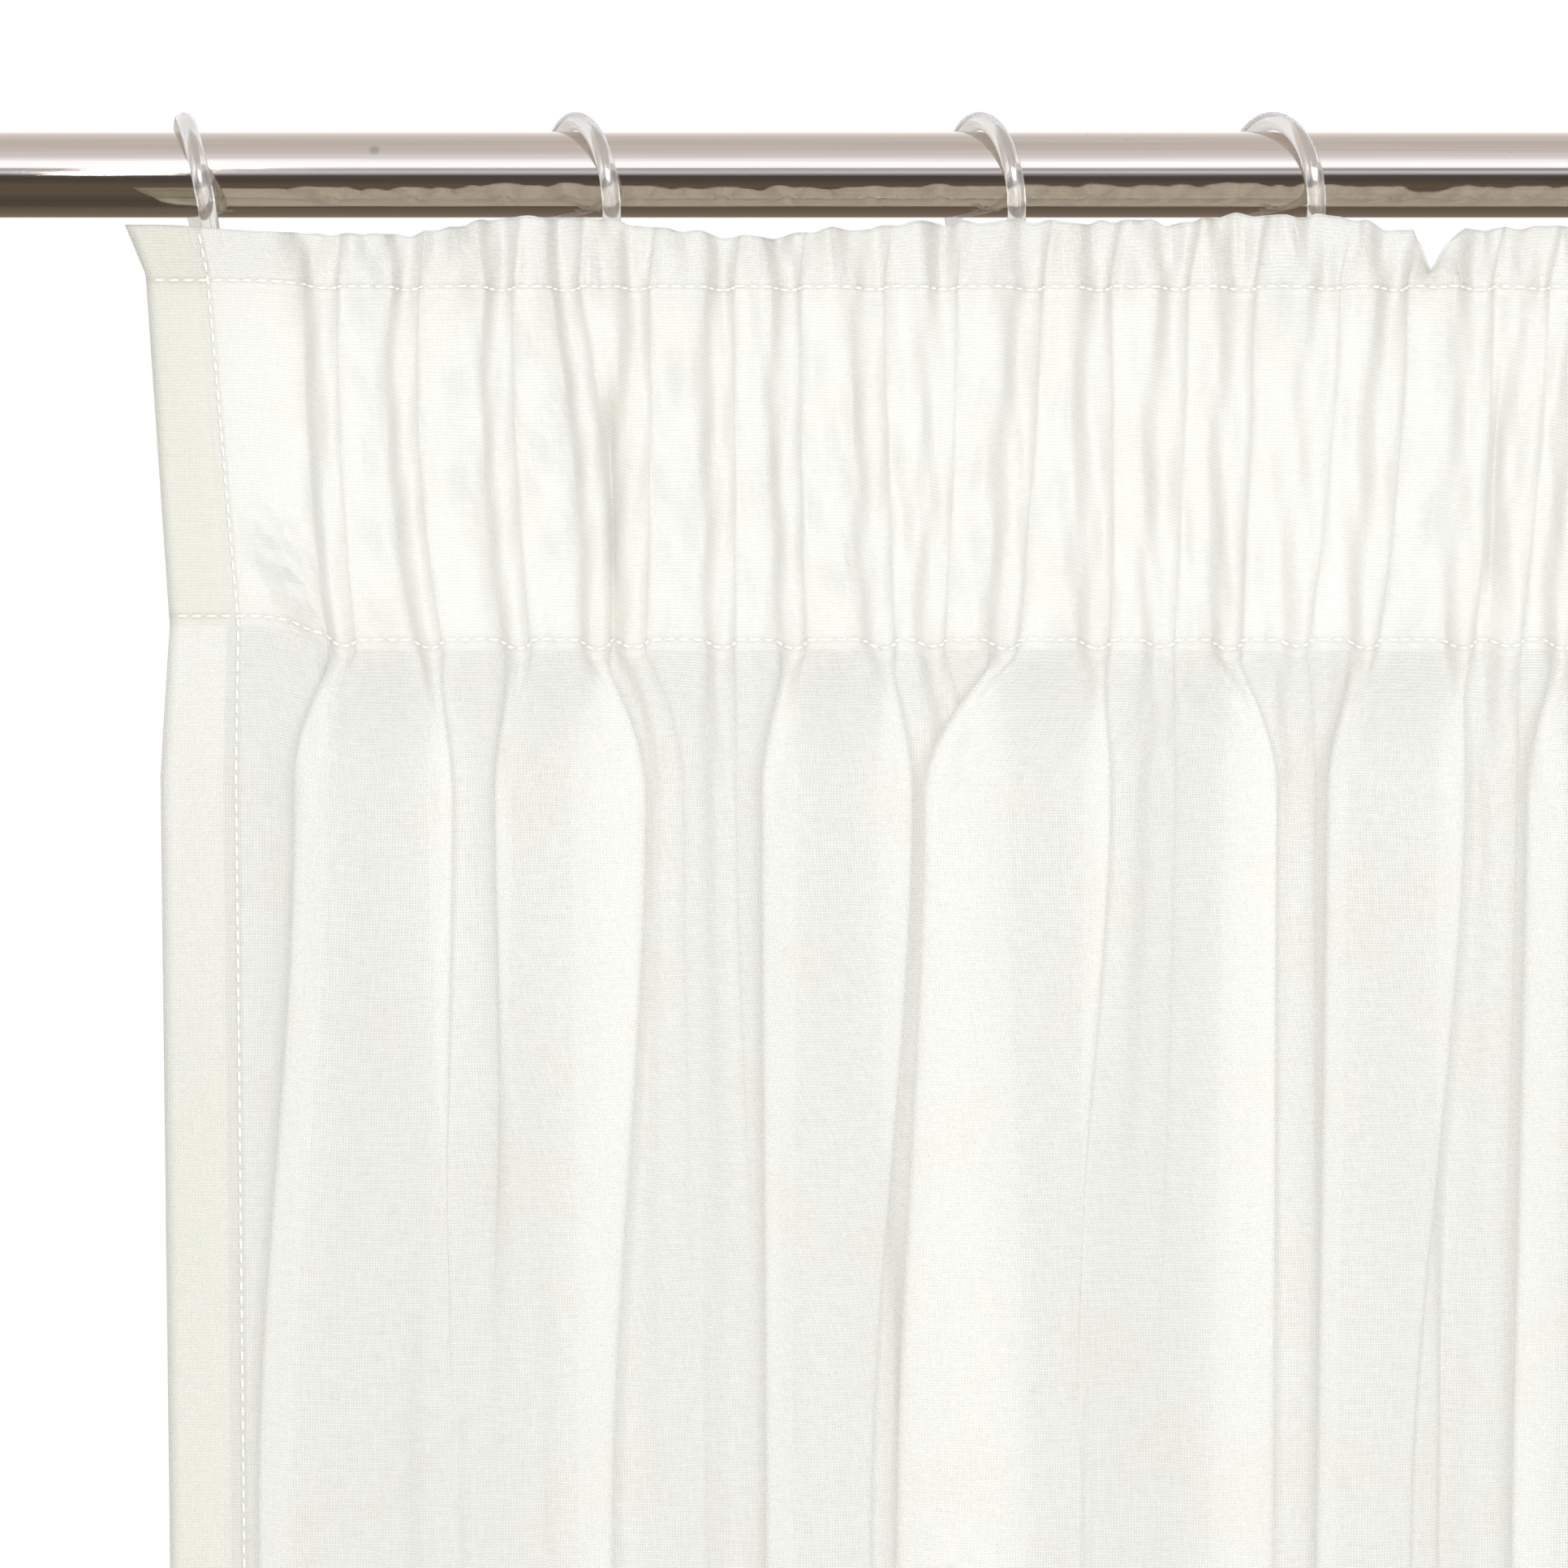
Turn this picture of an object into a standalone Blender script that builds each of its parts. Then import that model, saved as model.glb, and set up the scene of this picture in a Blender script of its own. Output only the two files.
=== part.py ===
"""Sheer voile curtain with a gathered pencil-pleat heading, hung by rings from a plain round rod.

Modelled in metres, +Z up, +X along the rod, with -Y towards the room. The origin is the middle of the
rod's left end face. Sizes below are in millimetres and are turned to metres when a mesh is made.

The cloth is drawn as plan sections. Each row of FOLDS is one pencil pleat: it stands up as a narrow
ridge in the heading, and below the tape it becomes a lobe's left edge, a lobe's right edge or a low
wave in a valley. Sections at seven heights are worked out from that table and blended down the drop.
"""
import math
from collections import namedtuple

import bmesh
import bpy
import numpy as np

MM = 0.001

# Rod
ROD_RADIUS = 9.5
ROD_OVERHANG = 65.0
ROD_CHAMFER = 0.8
ROD_SIDES = 32

# Curtain
WIDTH = 630.0
CLOTH = 1.0
TAPE = 1.0
GAP = 0.3
SIDE_HEM = 16.7
TOP_Z = -9.6
STITCH_Z = -20.6
MIDDLE_Z = -58.0
TAPE_FOOT_Z = -99.0
UPPER_Z = -133.0
LOWER_Z = -304.0
HEM_Z = -1378.0
LEVELS = (TOP_Z, STITCH_Z, MIDDLE_Z, TAPE_FOOT_Z, -107.0, -118.0, UPPER_Z, -200.0, LOWER_Z, HEM_Z)

# Where the back of the pleats hangs, in front of the rod's axis, at each height
HANG = {"z": (HEM_Z, LOWER_Z, UPPER_Z, TAPE_FOOT_Z, STITCH_Z, TOP_Z),
        "y": (8.0, -3.0, -10.0, -12.0, -18.5, -21.5)}

# The two sides are flat. Columns of cloth stand at these distances from the edge.
SIDE_COLUMNS = (0.0, 0.5 * SIDE_HEM, SIDE_HEM, 25.0)
# How far the side edge stands outside (+) or inside (-) its line at each height
EDGE_FLARE = {"z": (UPPER_Z, TAPE_FOOT_Z, STITCH_Z, TOP_Z), "out": (0.0, -2.3, 1.8, 6.0)}

# The gathered tape hangs lower than the flat ends, and its ridges lower still
DROOP = 5.5
RIDGE_DROOP = 2.2
DROOP_FROM = 22.0
DROOP_TO = 44.0

# Half-width of the ridges where the tape's two rows of sewing pinch them, and how much wider than in
# the middle of the tape they open at the frill's edge, where they also stand less far forward
PINCHED_HALF = 2.6
FRILL_WIDEN = 1.3
FRILL_RISE = 0.8

# A fold step smaller than this is a low wave, with these heights and widths below the tape
LOW_STEP = 2.5
WAVE_UPPER = 2.6
WAVE_LOWER = 1.0
LOWER_WIDEN = 1.5
FRONT_SWELL = 1.4
VALLEY_SAG = 0.6
FRONT_DEPTH = 8.0

# How far forward the flat sides hang at the upper and at the lower section
UPPER_SIDE = 3.0
LOWER_SIDE = 4.0

# Half-width of a ridge's top as a share of its half-width: boxy under the tape's sewing, soft below it
SEWN_CREST = 0.85
SOFT_CREST = 0.45

# Drift of the folds between the lower section and the hem
HEM_DRIFT = 4.0
HEM_WANDER = 0.4
HEM_START = 0.6
HEM_TUCK_SHARE = 0.6
HEM_DEPTH_SHARE = 2.1

# A notch where the frill is folded down: place, reach to its left and right, and depth
NOTCH_X = 281.8
NOTCH_LEFT = 3.8
NOTCH_RIGHT = 6.6
NOTCH_DEPTH = 10.0
# The frill's edge comes down to its line over this distance from each side
CROWN_FROM = 30.0

# x, mid_x and top_x: place of the ridge at the tape's foot, at its middle and at its top. half: its
# half-width at the middle. rise: how far it stands forward. crown: height of the frill above its line.
# Then, at the upper and at the lower section, the fold's place, how far the cloth is tucked back under
# it, and how far forward the cloth to its right lies.
Fold = namedtuple("Fold", "x mid_x top_x half rise crown up_x up_tuck up_fwd low_x low_tuck low_fwd")
FOLDS = (
    Fold(40.8, 37.6, 37.6, 2.8, 9.4, -1.6, 30.0, 8.0, 13.0, 20.4, 7.0, 15.0),
    Fold(60.2, 55.0, 55.6, 2.8, 9.6, -2.2, 65.1, 6.0, 5.0, 60.0, 0.0, 16.0),
    Fold(79.6, 76.0, 76.0, 3.0, 9.8, 1.8, 74.3, 4.0, 13.0, 78.0, 0.0, 15.5),
    Fold(96.9, 95.4, 90.2, 2.8, 10.0, 2.2, 107.6, 17.0, 0.5, 99.9, 8.0, 1.0),
    Fold(104.9, 105.4, 105.8, 3.1, 9.4, 0.4, 112.6, 0.0, 1.5, 113.0, 0.0, 2.0),
    Fold(124.5, 124.3, 124.3, 2.9, 9.6, -2.4, 124.6, 0.0, 2.0, 128.0, 0.0, 3.0),
    Fold(140.3, 139.0, 139.0, 2.8, 9.8, -2.0, 133.4, 8.0, 12.0, 134.3, 6.0, 13.0),
    Fold(160.1, 157.7, 157.4, 3.2, 9.6, -0.2, 166.6, 8.0, 1.0, 158.0, -6.0, 1.0),
    Fold(170.8, 172.4, 173.5, 3.0, 9.2, 0.8, 176.0, 0.0, 1.0, 173.0, 0.0, 0.5),
    Fold(187.0, 189.6, 192.2, 3.3, 10.0, 1.0, 169.4, 19.0, 13.0, 163.8, 30.0, 15.0),
    Fold(207.5, 206.9, 206.9, 3.5, 9.8, 1.0, 210.5, 6.0, 6.0, 198.0, 0.0, 14.0),
    Fold(221.8, 222.3, 224.2, 3.6, 9.4, 0.8, 221.0, 0.0, 8.0, 216.0, 0.0, 13.0),
    Fold(236.6, 236.9, 238.9, 3.5, 10.0, 2.6, 247.5, 12.0, 1.0, 248.0, 14.0, 1.0),
    Fold(251.2, 254.8, 257.6, 3.6, 9.2, 2.2, 252.4, 0.0, 1.0, 252.6, 0.0, 1.0),
    Fold(266.6, 270.2, 272.2, 3.4, 9.8, -0.6, 258.4, 5.0, 13.0, 257.8, 5.0, 13.0),
    Fold(287.9, 289.8, 290.8, 3.4, 9.6, -0.4, 288.9, 6.0, 1.5, 279.0, -6.0, 3.0),
    Fold(298.4, 300.8, 303.4, 3.5, 9.2, -0.4, 297.2, 0.0, 1.5, 294.0, 0.0, 3.0),
    Fold(310.6, 312.4, 315.6, 3.2, 9.8, 0.0, 302.6, 9.0, 13.0, 301.6, 10.0, 14.0),
    Fold(328.6, 329.8, 332.0, 3.0, 9.8, 1.4, 334.0, 6.0, 5.0, 324.0, 0.0, 15.0),
    Fold(344.0, 343.2, 344.4, 3.2, 9.4, 0.2, 343.0, 4.0, 12.0, 342.0, 0.0, 15.0),
    Fold(360.5, 358.4, 357.6, 3.4, 9.8, -1.6, 370.0, 14.0, 1.0, 371.0, 15.0, 2.0),
    Fold(373.2, 372.2, 371.0, 2.9, 9.4, -0.6, 376.6, 0.0, 1.5, 377.0, 0.0, 2.0),
    Fold(389.0, 391.0, 392.4, 3.3, 9.6, 1.2, 383.0, 6.0, 12.0, 385.0, 9.0, 13.0),
    Fold(407.4, 409.2, 411.0, 3.1, 9.8, 0.4, 411.5, 5.0, 1.0, 406.0, -4.0, 1.0),
    Fold(421.5, 423.9, 425.2, 3.0, 9.2, -1.4, 419.5, 0.0, 1.5, 418.0, 0.0, 1.0),
    Fold(438.2, 440.0, 440.6, 3.5, 10.0, -2.0, 429.0, 15.0, 13.0, 424.5, 23.0, 15.0),
    Fold(455.0, 454.4, 453.2, 3.1, 9.6, 0.8, 457.0, 0.0, 14.0, 452.0, 0.0, 15.0),
    Fold(471.6, 469.6, 468.8, 3.4, 9.8, 1.8, 479.0, 9.0, 1.0, 477.0, 10.0, 1.0),
    Fold(483.8, 482.6, 481.4, 2.8, 9.2, 0.4, 484.6, 0.0, 1.5, 484.0, 0.0, 2.0),
    Fold(500.3, 501.8, 501.0, 3.3, 9.8, -0.8, 492.0, 7.0, 12.0, 494.0, 8.0, 14.0),
    Fold(518.8, 520.4, 522.0, 3.2, 9.4, -1.8, 518.0, 0.0, 13.0, 519.0, 0.0, 14.0),
    Fold(534.9, 533.8, 535.4, 3.4, 10.0, 0.6, 543.5, 13.0, 1.0, 541.0, 12.0, 2.0),
    Fold(549.6, 550.6, 552.2, 2.9, 9.2, 1.6, 550.2, 0.0, 1.5, 551.0, 0.0, 2.0),
    Fold(566.0, 567.6, 568.0, 3.2, 9.6, -0.6, 558.0, 8.0, 13.0, 561.0, 7.0, 14.0),
    Fold(585.0, 587.0, 588.0, 3.0, 9.4, -1.2, 596.5, 9.0, 3.0, 602.0, 9.0, 4.0),
)

# Rings and hooks. x: ring's middle, shank: where its hook lies against the tape, then the ring's turn
# about the vertical and its lean to the left, in degrees.
Ring = namedtuple("Ring", "x shank turn lean")
RINGS = (
    Ring(8.8, 11.0, 9.0, 10.0),
    Ring(93.5, 92.0, 24.0, 3.0),
    Ring(182.5, 181.0, 24.0, 2.0),
    Ring(246.8, 246.0, 30.0, 0.0),
    Ring(336.5, 336.5, 16.0, 3.0),
    Ring(414.5, 414.5, -12.0, 0.0),
    Ring(491.5, 491.5, -20.0, -3.0),
    Ring(557.5, 557.5, -14.0, 2.0),
    Ring(619.0, 619.0, -8.0, -6.0),
)
RING_RADIUS = 17.0
RING_WIRE = 2.05
RING_SEGMENTS = 20
RING_SIDES = 6
EYE_RADIUS = 2.7
EYE_WIRE = 0.8
EYE_DROP = 21.4
EYE_SEGMENTS = 8
EYE_SIDES = 4
HOOK_WIRE = 0.9
HOOK_FOOT_Z = -52.0
HOOK_TOP_Z = -36.0

# Finishes: sRGB colour, roughness, metallic
FINISHES = {
    "voile": ((0.94, 0.935, 0.87), 0.9, 0.0),
    "tape": ((0.95, 0.945, 0.90), 0.9, 0.0),
    "rod": ((0.72, 0.69, 0.67), 0.22, 1.0),
    "ring": ((0.93, 0.93, 0.92), 0.08, 0.0),
    "hook": ((0.95, 0.95, 0.93), 0.35, 0.0),
}


def clear_scene():
    """Remove whatever the open scene holds."""
    for thing in list(bpy.data.objects):
        bpy.data.objects.remove(thing, do_unlink=True)


def finish(name):
    """The Principled material of one finish, made once."""
    if name in bpy.data.materials:
        return bpy.data.materials[name]
    colour, roughness, metallic = FINISHES[name]
    material = bpy.data.materials.new(name)
    material.use_nodes = True
    shader = material.node_tree.nodes["Principled BSDF"]
    shader.inputs["Base Color"].default_value = [c ** 2.2 for c in colour] + [1.0]
    shader.inputs["Roughness"].default_value = roughness
    shader.inputs["Metallic"].default_value = metallic
    return material


def ease(value):
    """0 to 1 with a soft start and end."""
    t = np.clip(value, 0.0, 1.0)
    return t * t * (3.0 - 2.0 * t)


def fold_points(edge, half, rise, tuck, left, right, crest):
    """Six points across one fold, as x and as distance forward.

    Where the cloth lies level on both sides, the fold is a narrow ridge of height rise. Where one side
    is a lobe's front, the points run from the hidden inner fold, back under the lobe by tuck, round
    its visible edge and on to the front. A negative tuck is an open slope with nothing under it.
    """
    if abs(right - left) < LOW_STEP:
        across = half * np.array([-1.2, -1.0, -crest, crest, 1.0, 1.2])
        stand = rise * np.array([0.0, 0.6, 1.0, 1.0, 0.6, 0.0])
        return edge + across, np.linspace(left, right, 6) + stand
    back = min(left, right)
    drop = abs(right - left)
    across = np.array([tuck, 0.5 * tuck, 0.4, 0.2, 3.0, 7.0])
    forward = back + drop * np.array([0.3, 0.45, 0.58, 0.88, 1.0, 1.0])
    forward[-1] += 0.7 * FRONT_SWELL
    if right > left:
        return edge + across, forward
    return (edge - across)[::-1], forward[::-1]


def section(places, halves, rises, tucks, levels, crest):
    """One plan section of the whole cloth, as x and distance forward of every column.

    levels has the level of the flat left side, then of the cloth to the right of each fold.
    """
    xs = [np.array(SIDE_COLUMNS)]
    forwards = [np.full(len(SIDE_COLUMNS), levels[0])]
    rows = zip(places, halves, rises, tucks, levels[:-1], levels[1:])
    folds = [fold_points(*row, crest) for row in rows]
    for number, (x, forward) in enumerate(folds):
        xs.append(x)
        forwards.append(forward)
        if number + 1 < len(folds):
            level = levels[number + 1]
            swell = FRONT_SWELL if level > FRONT_DEPTH else -VALLEY_SAG
            xs.append([0.5 * (x[-1] + folds[number + 1][0][0])])
            forwards.append([level + swell])
    xs.append(WIDTH - np.array(SIDE_COLUMNS)[::-1])
    forwards.append(np.full(len(SIDE_COLUMNS), levels[-1]))
    return np.concatenate(xs), np.concatenate(forwards)


def sections(shrink=0.0, lower=0.0):
    """The seven sections, from the frill's edge down. shrink and lower slim the heading's ridges."""
    pick = {field: np.array([getattr(fold, field) for fold in FOLDS]) for field in Fold._fields}
    flat = np.zeros(len(FOLDS))
    level = np.zeros(len(FOLDS) + 1)
    rise = pick["rise"] - lower
    pinched = flat + PINCHED_HALF - shrink
    wide = LOWER_WIDEN * pick["half"]
    upper_levels = np.concatenate([[UPPER_SIDE], pick["up_fwd"]])
    lower_levels = np.concatenate([[LOWER_SIDE], pick["low_fwd"]])
    drift = HEM_DRIFT * np.sin(HEM_WANDER * np.arange(len(FOLDS)) + HEM_START)
    return (
        section(pick["top_x"], FRILL_WIDEN * pick["half"], FRILL_RISE * rise, flat, level, SEWN_CREST),
        section(pick["top_x"], pinched, rise, flat, level, SEWN_CREST),
        section(pick["mid_x"], pick["half"] - shrink, rise, flat, level, SEWN_CREST),
        section(pick["x"], pinched, rise, flat, level, SEWN_CREST),
        section(pick["up_x"], pick["half"], flat + WAVE_UPPER, pick["up_tuck"], upper_levels, SOFT_CREST),
        section(pick["low_x"], wide, flat + WAVE_LOWER, pick["low_tuck"], lower_levels, SOFT_CREST),
        section(pick["low_x"] + drift, wide, flat + WAVE_LOWER, HEM_TUCK_SHARE * pick["low_tuck"],
                HEM_DEPTH_SHARE * lower_levels, SOFT_CREST),
    )


def shares_at(z):
    """How much of each of the seven sections goes into the plan at height z.

    Between the tape's two rows of sewing the plan follows one smooth curve through three sections.
    Above and below, it passes from one section to the next.
    """
    shares = np.zeros(7)
    if z > STITCH_Z:
        up = (z - STITCH_Z) / (TOP_Z - STITCH_Z)
        shares[:2] = up, 1.0 - up
    elif z > TAPE_FOOT_Z:
        top, middle, foot = z - STITCH_Z, z - MIDDLE_Z, z - TAPE_FOOT_Z
        shares[1] = middle * foot / ((STITCH_Z - MIDDLE_Z) * (STITCH_Z - TAPE_FOOT_Z))
        shares[2] = top * foot / ((MIDDLE_Z - STITCH_Z) * (MIDDLE_Z - TAPE_FOOT_Z))
        shares[3] = top * middle / ((TAPE_FOOT_Z - STITCH_Z) * (TAPE_FOOT_Z - MIDDLE_Z))
    elif z > UPPER_Z:
        up = (z - UPPER_Z) / (TAPE_FOOT_Z - UPPER_Z)
        shares[3:5] = up ** 2, 1.0 - up ** 2
    elif z > LOWER_Z:
        down = ease((UPPER_Z - z) / (UPPER_Z - LOWER_Z))
        shares[4:6] = 1.0 - down, down
    else:
        down = (LOWER_Z - z) / (LOWER_Z - HEM_Z)
        shares[5:] = 1.0 - down, down
    return shares


def plan(z, parts):
    """The section at height z, as x and distance forward of every column."""
    return np.tensordot(shares_at(z), np.array(parts), axes=1)


def side_flare(z, x):
    """Sideways shift of the flat ends at height z, strongest at the very edge."""
    out = np.interp(z, EDGE_FLARE["z"], EDGE_FLARE["out"])
    reach = SIDE_COLUMNS[-1]
    return out * (np.clip((x - WIDTH) / reach + 1.0, 0.0, 1.0) - np.clip(1.0 - x / reach, 0.0, 1.0))


def droop(z, x, forward):
    """How far the cloth hangs below its flat height: all across the gathers, and more on the ridges."""
    inside = ease((np.minimum(x, WIDTH - x) - DROOP_FROM) / (DROOP_TO - DROOP_FROM))
    ridge = RIDGE_DROOP * np.clip(forward / 9.0, 0.0, 1.0)
    at_foot = np.interp(z, (UPPER_Z, TAPE_FOOT_Z, STITCH_Z, TOP_Z), (0.4, 1.0, 0.25, 0.0))
    return at_foot * inside * (DROOP + ridge * (z > UPPER_Z - 1.0)) * (z > LOWER_Z)


def crown(x):
    """Height of the frill's edge above its line, with the folded notch cut in."""
    rise = np.interp(x, [fold.top_x for fold in FOLDS], [fold.crown for fold in FOLDS])
    reach = np.where(x < NOTCH_X, NOTCH_LEFT, NOTCH_RIGHT)
    notch = NOTCH_DEPTH * np.clip(1.0 - np.abs(x - NOTCH_X) / reach, 0.0, 1.0)
    return rise * ease(np.minimum(x, WIDTH - x) / CROWN_FROM) - notch


def sheet_rows(levels, parts, behind=0.0):
    """Points of a sheet's middle at each height, as an array of rows of columns. behind moves it back."""
    rows = []
    for z in levels:
        x, forward = plan(z, parts)
        height = z - droop(z, x, forward)
        if z == TOP_Z:
            height = height + crown(x)
        y = np.interp(z, HANG["z"], HANG["y"]) + behind - forward
        rows.append(np.stack([ROD_OVERHANG + x + side_flare(z, x), y, height], axis=-1))
    return np.array(rows)


def section_normals(rows):
    """Plan normals that point forward, lengthened at each bend so that the thickness holds."""
    along = np.diff(rows[:, :, :2], axis=1)
    along /= np.linalg.norm(along, axis=2, keepdims=True)
    before = np.concatenate([along[:, :1], along], axis=1)
    after = np.concatenate([along, along[:, -1:]], axis=1)
    middle = before + after
    length = np.linalg.norm(middle, axis=2, keepdims=True)
    middle /= np.maximum(length, 0.2)
    stretch = np.clip(2.0 / np.maximum(length, 0.2), 1.0, 1.35)
    return np.stack([middle[:, :, 1], -middle[:, :, 0]], axis=-1) * stretch


def thick_sheet(name, rows, thickness, material):
    """A closed sheet: the middle surface moved half the thickness each way, joined round its edge."""
    row_count, column_count = rows.shape[:2]
    shift = np.zeros_like(rows)
    shift[:, :, :2] = section_normals(rows) * 0.5 * thickness
    points = np.concatenate([(rows + shift).reshape(-1, 3), (rows - shift).reshape(-1, 3)]) * MM
    index = np.arange(row_count * column_count).reshape(row_count, column_count)
    a, b, c, d = index[:-1, :-1], index[1:, :-1], index[1:, 1:], index[:-1, 1:]
    front = np.concatenate([np.stack([a, b, c], -1).reshape(-1, 3), np.stack([a, c, d], -1).reshape(-1, 3)])
    back = front[:, ::-1] + row_count * column_count
    rim = np.concatenate([index[:, 0], index[-1, 1:], index[::-1, -1][1:], index[0, ::-1][1:]])
    start, end, over = rim[:-1], rim[1:], row_count * column_count
    edge = np.concatenate([np.stack([start, start + over, end + over], -1),
                           np.stack([start, end + over, end], -1)])
    faces = np.concatenate([front, back, edge])
    mesh = bpy.data.meshes.new(name)
    mesh.from_pydata(points.tolist(), [], faces.tolist())
    mesh.validate()
    mesh.shade_smooth()
    return add_object(name, mesh, material)


def add_object(name, data, material):
    """Put mesh or curve data into the scene with its finish."""
    data.materials.append(finish(material))
    thing = bpy.data.objects.new(name, data)
    bpy.context.collection.objects.link(thing)
    return thing


def voile_panel():
    """The panel, in one piece from the frill's edge to the hem."""
    return thick_sheet("voile_panel", sheet_rows(LEVELS, sections()), CLOTH, "voile")


def tape_back():
    """How far the middle of the tape lies behind the middle of the cloth."""
    return 0.5 * CLOTH + GAP + 0.5 * TAPE


def heading_tape():
    """The tape, nested in the pleats behind the panel."""
    inset = tape_back()
    rows = sheet_rows((STITCH_Z, MIDDLE_Z, TAPE_FOOT_Z), sections(shrink=inset, lower=TAPE), behind=inset)
    ends = slice(1, -1)
    return thick_sheet("heading_tape", rows[:, ends], TAPE, "tape")


def rod_length():
    """The rod runs past both sides of the curtain."""
    return WIDTH + 2.0 * ROD_OVERHANG


def rod():
    """A round bar along +X with a small chamfer at each end."""
    mesh = bpy.data.meshes.new("rod")
    shape = bmesh.new()
    bmesh.ops.create_cone(shape, cap_ends=True, segments=ROD_SIDES, radius1=ROD_RADIUS * MM,
                          radius2=ROD_RADIUS * MM, depth=rod_length() * MM)
    shape.to_mesh(mesh)
    shape.free()
    mesh.shade_smooth()
    mesh.set_sharp_from_angle(angle=math.radians(30.0))
    bar = add_object("rod", mesh, "rod")
    bar.rotation_euler = (0.0, math.radians(90.0), 0.0)
    bar.location = (0.5 * rod_length() * MM, 0.0, 0.0)
    chamfer = bar.modifiers.new("chamfer", "BEVEL")
    chamfer.width = ROD_CHAMFER * MM
    chamfer.segments = 1
    chamfer.limit_method = "ANGLE"
    chamfer.angle_limit = math.radians(60.0)
    return bar


def torus(name, radius, wire, segments, sides, axis):
    """A closed ring of round wire about the given axis, 0 for X or 1 for Y."""
    turn = np.linspace(0.0, math.tau, segments, endpoint=False)[:, None]
    roll = np.linspace(0.0, math.tau, sides, endpoint=False)[None, :]
    reach = radius + wire * np.cos(roll)
    flat = [reach * np.sin(turn), reach * np.cos(turn)]
    flat.insert(axis, np.broadcast_to(wire * np.sin(roll), flat[0].shape))
    points = np.stack(flat, axis=-1).reshape(-1, 3) * MM
    index = np.arange(segments * sides).reshape(segments, sides)
    after = np.roll(index, -1, axis=0)
    faces = np.stack([index, after, np.roll(after, -1, axis=1), np.roll(index, -1, axis=1)], -1)
    mesh = bpy.data.meshes.new(name)
    mesh.from_pydata(points.tolist(), [], faces.reshape(-1, 4).tolist())
    shape = bmesh.new()
    shape.from_mesh(mesh)
    bmesh.ops.recalc_face_normals(shape, faces=shape.faces)
    shape.to_mesh(mesh)
    shape.free()
    mesh.shade_smooth()
    return mesh


def ring_turn(ring):
    """The ring's turn about the vertical and its lean, as an Euler rotation."""
    return (0.0, math.radians(-ring.lean), math.radians(ring.turn))


def ring_height(ring):
    """Height of the ring's middle, with its inside resting a gap above the top of the rod."""
    return ROD_RADIUS + GAP + RING_WIRE - RING_RADIUS * math.cos(math.radians(ring.lean))


def eye_place(ring):
    """Middle of the eye moulded under the ring, in the frame."""
    lean = math.radians(ring.lean)
    turn = math.radians(ring.turn)
    out = EYE_DROP * math.sin(lean)
    return (ROD_OVERHANG + ring.x + out * math.cos(turn), out * math.sin(turn),
            ring_height(ring) - EYE_DROP * math.cos(lean))


def curtain_rings():
    """Clear rings round the rod, each moulded in one with a small eye under it."""
    hoop = torus("hoop", RING_RADIUS, RING_WIRE, RING_SEGMENTS, RING_SIDES, axis=0)
    eye = torus("eye", EYE_RADIUS, EYE_WIRE, EYE_SEGMENTS, EYE_SIDES, axis=1)
    for number, ring in enumerate(RINGS, start=1):
        piece = add_object(f"ring_{number}", hoop.copy(), "ring")
        piece.rotation_euler = ring_turn(ring)
        piece.location = ((ROD_OVERHANG + ring.x) * MM, 0.0, ring_height(ring) * MM)
        loop = add_object(f"eye_{number}", eye.copy(), "ring")
        loop.parent = piece
        loop.location = (0.0, 0.0, -EYE_DROP * MM)
        loop.hide_render = True
        loop.display_type = "WIRE"
        join = piece.modifiers.new("eye", "BOOLEAN")
        join.operation = "UNION"
        join.object = loop


def tape_face(z):
    """The y of the tape's back between its top and its foot."""
    share = (z - STITCH_Z) / (TAPE_FOOT_Z - STITCH_Z)
    top, foot = (np.interp(end, HANG["z"], HANG["y"]) for end in (STITCH_Z, TAPE_FOOT_Z))
    return top + share * (foot - top) + tape_back() + 0.5 * TAPE + VALLEY_SAG


def curtain_hooks():
    """A hook for each ring: a shank up the back of the tape, then over through the ring's eye."""
    for number, ring in enumerate(RINGS, start=1):
        eye_x, eye_y, eye_z = eye_place(ring)
        shank_x = ROD_OVERHANG + ring.shank
        rest_z = eye_z - EYE_RADIUS + EYE_WIRE + HOOK_WIRE + GAP
        clear = GAP + HOOK_WIRE
        start = np.array([shank_x, tape_face(HOOK_TOP_Z) + clear, HOOK_TOP_Z])
        end = np.array([eye_x, eye_y, rest_z])
        span = np.linspace(0.0, 1.0, 6)[1:, None]
        bend = start + (end - start) * np.concatenate([span, span, np.sin(0.5 * math.pi * span)], axis=1)
        tail = end + np.array([[0.0, 2.2, -0.5], [0.0, 4.0, -2.2], [0.0, 4.6, -5.0], [0.0, 4.6, -8.0]])
        foot = np.array([[shank_x, tape_face(HOOK_FOOT_Z) + clear, HOOK_FOOT_Z]])
        path = np.concatenate([foot, start[None], bend, tail]) * MM
        curve = bpy.data.curves.new(f"hook_{number}", "CURVE")
        curve.dimensions = "3D"
        curve.bevel_depth = HOOK_WIRE * MM
        curve.bevel_resolution = 1
        curve.use_fill_caps = True
        spline = curve.splines.new("POLY")
        spline.points.add(len(path) - 1)
        spline.points.foreach_set("co", np.column_stack([path, np.ones(len(path))]).ravel())
        add_object(f"hook_{number}", curve, "hook")


def main():
    clear_scene()
    rod()
    voile_panel()
    heading_tape()
    curtain_rings()
    curtain_hooks()


main()
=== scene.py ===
"""Dresses the sheer voile curtain and its rod: fine woven cloth, heading tape, sewing, clear rings,
white hooks, a polished rod and a plain studio stage.

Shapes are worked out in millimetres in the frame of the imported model: +X along the rod, -Y towards the
room, +Z up, with the origin in the middle of the rod's left end face. They become metres in the mesh.
"""
import math
from collections import namedtuple

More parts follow.
